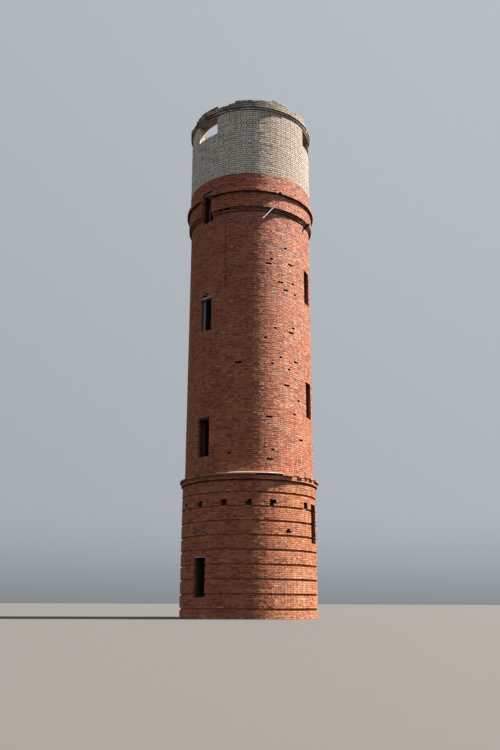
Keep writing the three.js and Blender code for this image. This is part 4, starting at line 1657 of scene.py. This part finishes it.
class TOWER_OT_frieze(PieceOperator, bpy.types.Operator):
    """Corbel, frieze, string course and the red wall above them"""
    bl_idname = "tower.frieze"
    bl_label = "Frieze"

    def execute(self, context):
        window = opening_at(LEFT, LEFT_WINDOWS[3][0])
        half = window.half + context.scene.tower_masonry.recess
        walls = (("front", (LEFT, half), (RIGHT, 0)), ("right", (RIGHT, 0), (REAR, 0)),
                 ("left", (REAR, 0), (LEFT, -half)))
        for i, (name, start, end) in enumerate(walls):
            work = Brickwork(FRIEZE_SEED + i)
            lay_region(work, start, end, SHAFT_TOP, TANK_FLOOR_BOTTOM, SHAFT_IN)
            lay_region(work, start, end, TANK_FLOOR_BOTTOM, RED_TOP, TANK_IN)
            for side, cut in ((1, start), (-1, end)):
                if cut[1]:
                    work.lay_reveal(window, side, SHAFT_TOP)
            work.build(f"frieze_{name}")
        work = Brickwork(FRIEZE_HEAD_SEED)
        start, end = (LEFT, -half), (LEFT, half)
        lay_region(work, start, end, window.high, TANK_FLOOR_BOTTOM, SHAFT_IN, bottom_open=True)
        lay_region(work, start, end, TANK_FLOOR_BOTTOM, RED_TOP, TANK_IN)
        work.lay_bed(window, course_at(window.high))
        work.build("frieze_window_head")
        return {"FINISHED"}


class TOWER_OT_tank(PieceOperator, bpy.types.Operator):
    """Grey tank storey with its wide openings and their lintels"""
    bl_idname = "tower.tank"
    bl_label = "Tank storey"

    def execute(self, context):
        half = HOLE_HALF + context.scene.tower_masonry.recess
        holes = [opening_at(azimuth, HOLE_SILL) for azimuth in HOLES]
        walls = (("front", holes[0], holes[1]), ("right", holes[1], holes[2]), ("left", holes[2], holes[0]))
        for i, (side, start, end) in enumerate(walls):
            work = Brickwork(TANK_SEED + i, grey=True)
            lay_region(work, (start.azimuth, half), (end.azimuth, -half), RED_TOP, CORNICE_BOTTOM, TANK_IN)
            work.lay_reveal(start, 1)
            work.lay_reveal(end, -1)
            work.build(f"tank_wall_{side}")
        for i, hole in enumerate(holes):
            node = f"tank_opening_apron_{i + 1}"
            build_panel(node, APRON_SEED + i, hole, RED_TOP, HOLE_SILL, TANK_IN, grey=True)
            finish_node(f"tank_opening_lintel_{i + 1}", concrete())
        return {"FINISHED"}


class TOWER_OT_parapet(PieceOperator, bpy.types.Operator):
    """Cornice and ragged parapet, brick by brick through their whole thickness"""
    bl_idname = "tower.parapet"
    bl_label = "Parapet"

    def execute(self, context):
        for i, side in enumerate(("left", "right", "rear")):
            low, high = PARAPET_JOINTS[i], PARAPET_JOINTS[i + 1]
            work = Brickwork(PARAPET_SEED + i, grey=True)
            for course in courses_between(CORNICE_BOTTOM, CROWN_TOP):
                self.lay_ring(work, course, tiles_between(course, (low, 0), (high, 0)))
            self.add_mortar(work, low, high)
            work.build(f"parapet_{side}")
        return {"FINISHED"}

    def is_gone(self, course, tile):
        """Bricks have fallen from the topmost course, mostly on the weather side."""
        if self.top_at(tile.middle) > course.high + CLOSE:
            return False
        share = sum(lost for low, high, lost in CROWN_LOSSES if low < tile.middle % 360 < high)
        return np.random.default_rng(int(tile.left * 100) % CROWN_SEEDS).random() < share

    def top_at(self, azimuth):
        turned = PARAPET_STEPS[0][0] + (azimuth - PARAPET_STEPS[0][0]) % 360
        return [top for step, top in PARAPET_STEPS if step <= turned][-1]

    def lay_ring(self, work, course, tiles):
        """Lays face bricks outside and inside, and the fill between them, where the top is high enough."""
        joint = work.joint
        high = {tile: min(course.high, self.top_at(tile.middle)) for tile in tiles}
        laid = [t for t in tiles if high[t] > course.low + SHORTEST_RISE and not self.is_gone(course, t)]
        for tile in laid:
            work.lay_course(course, [tile], high[tile])
        face = face_depth(course)
        thick = course.radius - TANK_IN - face - joint
        inner_face = thick if course.header else BRICK_WIDTH
        whole = [tile for tile in laid if high[tile] > course.high - CLOSE]
        work.lay_inner(course, whole, TANK_IN, inner_face)
        if not course.header:
            radius = course.radius - face - joint
            half = math.degrees(joint / 2 / radius)
            left = polar(np.array([tile.left + half for tile in whole]), radius)
            right = polar(np.array([tile.right - half for tile in whole]), radius)
            work.lay(plan_between(left, right, thick - inner_face - joint), course.low, course.high)

    def add_mortar(self, work, low, high):
        """Mortar bodies between the bricks, one for each stretch of equal height."""
        steps = [turned_near(azimuth, (low + high) / 2) for azimuth, _ in PARAPET_STEPS]
        azimuths = sorted({low, high} | {azimuth for azimuth in steps if low < azimuth < high})
        for start, end in zip(azimuths, azimuths[1:]):
            height = self.top_at((start + end) / 2) - CORNICE_BOTTOM
            courses = max(math.ceil(height / GREY_COURSE - 0.01) - 1, 1)
            rows = core_rows(CORNICE_BOTTOM, CORNICE_BOTTOM + courses * GREY_COURSE - BED_CLEAR)
            work.bodies.append(MortarBody((start, 0), (end, 0), rows, TANK_IN + work.settings.recess))


class TOWER_OT_floors(PieceOperator, bpy.types.Operator):
    """Concrete floors"""
    bl_idname = "tower.floors"
    bl_label = "Floors"

    def execute(self, context):
        for node in ("ground_floor", "tank_floor"):
            finish_node(node, concrete())
        return {"FINISHED"}


class TOWER_OT_frames(PieceOperator, bpy.types.Operator):
    """What is left of the timber frames in the left windows"""
    bl_idname = "tower.frames"
    bl_label = "Window frames"

    def execute(self, context):
        for i, (sill, _) in enumerate(LEFT_WINDOWS):
            self.build_frame(i, opening_at(LEFT, sill))
        return {"FINISHED"}

    def build_frame(self, i, window):
        """Two posts, the board at the head and the sill."""
        chance = np.random.default_rng(FRAME_SEED + i)
        inside = window.half - FRAME_CLEAR
        edge = math.sqrt(window.outer ** 2 - inside ** 2)
        front = edge - FRAME_SETBACKS[i]
        low, top = window.low + FRAME_CLEAR, window.high - FRAME_CLEAR
        head = top - FRAME_BOARD
        tone = FRAME_TONES[i]
        bars = [(side * (inside - FRAME_POST / 2), FRAME_POST, front, low, head, tone) for side in (-1, 1)]
        bars.append((0, 2 * inside, edge - BOARD_SETBACK, head, top, BOARD_TONES[i]))
        bars.append((0, 2 * (inside - FRAME_POST - FRAME_CLEAR), front, low, low + FRAME_POST, tone))
        points, faces, tones = [], [], []
        for across, width, face, bottom, bar_top, bar_tone in bars:
            bar = self.timber_bar(chance, across, width, front - FRAME_DEPTH, face, bottom, bar_top)
            faces += [[index + len(points) for index in corners] for corners in bar[1]]
            points += bar[0]
            tones += [bar_tone] * len(bar[0])
        node = f"left_window_frame_{i + 1}"
        mesh = bpy.data.meshes.new(node)
        mesh.from_pydata(points, [], faces)
        mesh.attributes.new("tone", "FLOAT", "POINT").data.foreach_set("value", tones)
        place_piece(f"{node}_timber", mesh, node, [timber()])

    def timber_bar(self, chance, across, width, back, front, low, high):
        """The points and faces of a bar with worn arrises, standing or lying in a window."""
        points = []
        levels = np.linspace(low, high, max(2, int((high - low) / BAR_STEP) + 1))
        for k, level in enumerate(levels):
            shrink = BAR_WEAR if k in (0, len(levels) - 1) else 0
            for x, y in ((-1, -1), (1, -1), (1, 1), (-1, 1)):
                worn = ((BAR_WEAR, 0), (0, BAR_WEAR))
                for dx, dy in worn if x * y > 0 else reversed(worn):
                    side = x * (width / 2 - dx - shrink)
                    out = (front - dy - shrink) if y > 0 else (back + dy + shrink)
                    stray = chance.normal(0, BAR_STRAY, 2)
                    points.append((*square_to(LEFT, out + stray[0], across + side + stray[1]), level))
        last = (len(levels) - 1) * 8
        faces = []
        for ring in range(0, last, 8):
            for j in range(8):
                n = (j + 1) % 8
                faces.append([ring + 8 + j, ring + 8 + n, ring + n, ring + j])
        return points, faces + [list(range(8)), [last + 7 - j for j in range(8)]]


class TOWER_OT_ironwork(PieceOperator, bpy.types.Operator):
    """The pale pipe and the iron bracket under the frieze"""
    bl_idname = "tower.ironwork"
    bl_label = "Ironwork"

    def execute(self, context):
        finish_node("bent_pipe", pale_pipe())
        shape = bmesh.new()
        for bar in BRACKET_BARS:
            self.add_bar(shape, *bar)
        bmesh.ops.bevel(shape, geom=shape.edges[:], offset=BRACKET_ARRIS, segments=1, affect="EDGES")
        bmesh.ops.recalc_face_normals(shape, faces=shape.faces[:])
        mesh = bpy.data.meshes.new("iron_bracket")
        shape.to_mesh(mesh)
        shape.free()
        place_piece("iron_bracket_bars", mesh, "iron_bracket", [rusty_iron()])
        return {"FINISHED"}

    def add_bar(self, shape, start, end, width, thickness):
        """A flat bar between two places beside the bracket's azimuth."""
        places = [Vector((*square_to(BRACKET_AZIMUTH, out, across), z)) for out, across, z in (start, end)]
        along = (places[1] - places[0]).normalized()
        side = Vector((*square_to(BRACKET_AZIMUTH, 0, 1), 0))
        if abs(side.dot(along)) > 0.9:
            side = Vector((0, 0, 1))
        side = (side - along * side.dot(along)).normalized() * width / 2
        face = along.cross(side).normalized() * thickness / 2
        turns = ((1, 1), (-1, 1), (-1, -1), (1, -1))
        rings = [[shape.verts.new(place + side * a + face * b) for a, b in turns] for place in places]
        for ring in rings:
            shape.faces.new(ring)
        for i in range(4):
            shape.faces.new((rings[0][i], rings[0][i - 1], rings[1][i - 1], rings[1][i]))


class TOWER_PT_panel(bpy.types.Panel):
    """Lists the tower's settings and the operators that build it"""
    bl_idname = "TOWER_PT_panel"
    bl_label = "Brick water tower"
    bl_space_type = "VIEW_3D"
    bl_region_type = "UI"
    bl_category = "Tower"

    def draw(self, context):
        layout = self.layout
        for group, kind in SETTINGS.items():
            for name in kind.__annotations__:
                layout.prop(getattr(context.scene, group), name)
        for operator in OPERATORS:
            layout.operator(operator.bl_idname)


SETTINGS = {"tower_masonry": MasonrySettings, "tower_finish": FinishSettings, "tower_light": LightSettings}
OPERATORS = (TOWER_OT_stage, TOWER_OT_base, TOWER_OT_belt, TOWER_OT_shaft, TOWER_OT_frieze, TOWER_OT_tank,
             TOWER_OT_parapet, TOWER_OT_floors, TOWER_OT_frames, TOWER_OT_ironwork)


def register():
    for name, group in SETTINGS.items():
        bpy.utils.register_class(group)
        setattr(bpy.types.Scene, name, bpy.props.PointerProperty(type=group))
    for kind in (*OPERATORS, TOWER_PT_panel):
        bpy.utils.register_class(kind)


def unregister():
    for kind in (TOWER_PT_panel, *reversed(OPERATORS)):
        bpy.utils.unregister_class(kind)
    for name, group in SETTINGS.items():
        delattr(bpy.types.Scene, name)
        bpy.utils.unregister_class(group)


def main():
    register()
    for operator in OPERATORS:
        group, name = operator.bl_idname.split(".")
        getattr(getattr(bpy.ops, group), name)()


if __name__ == "__main__":
    main()
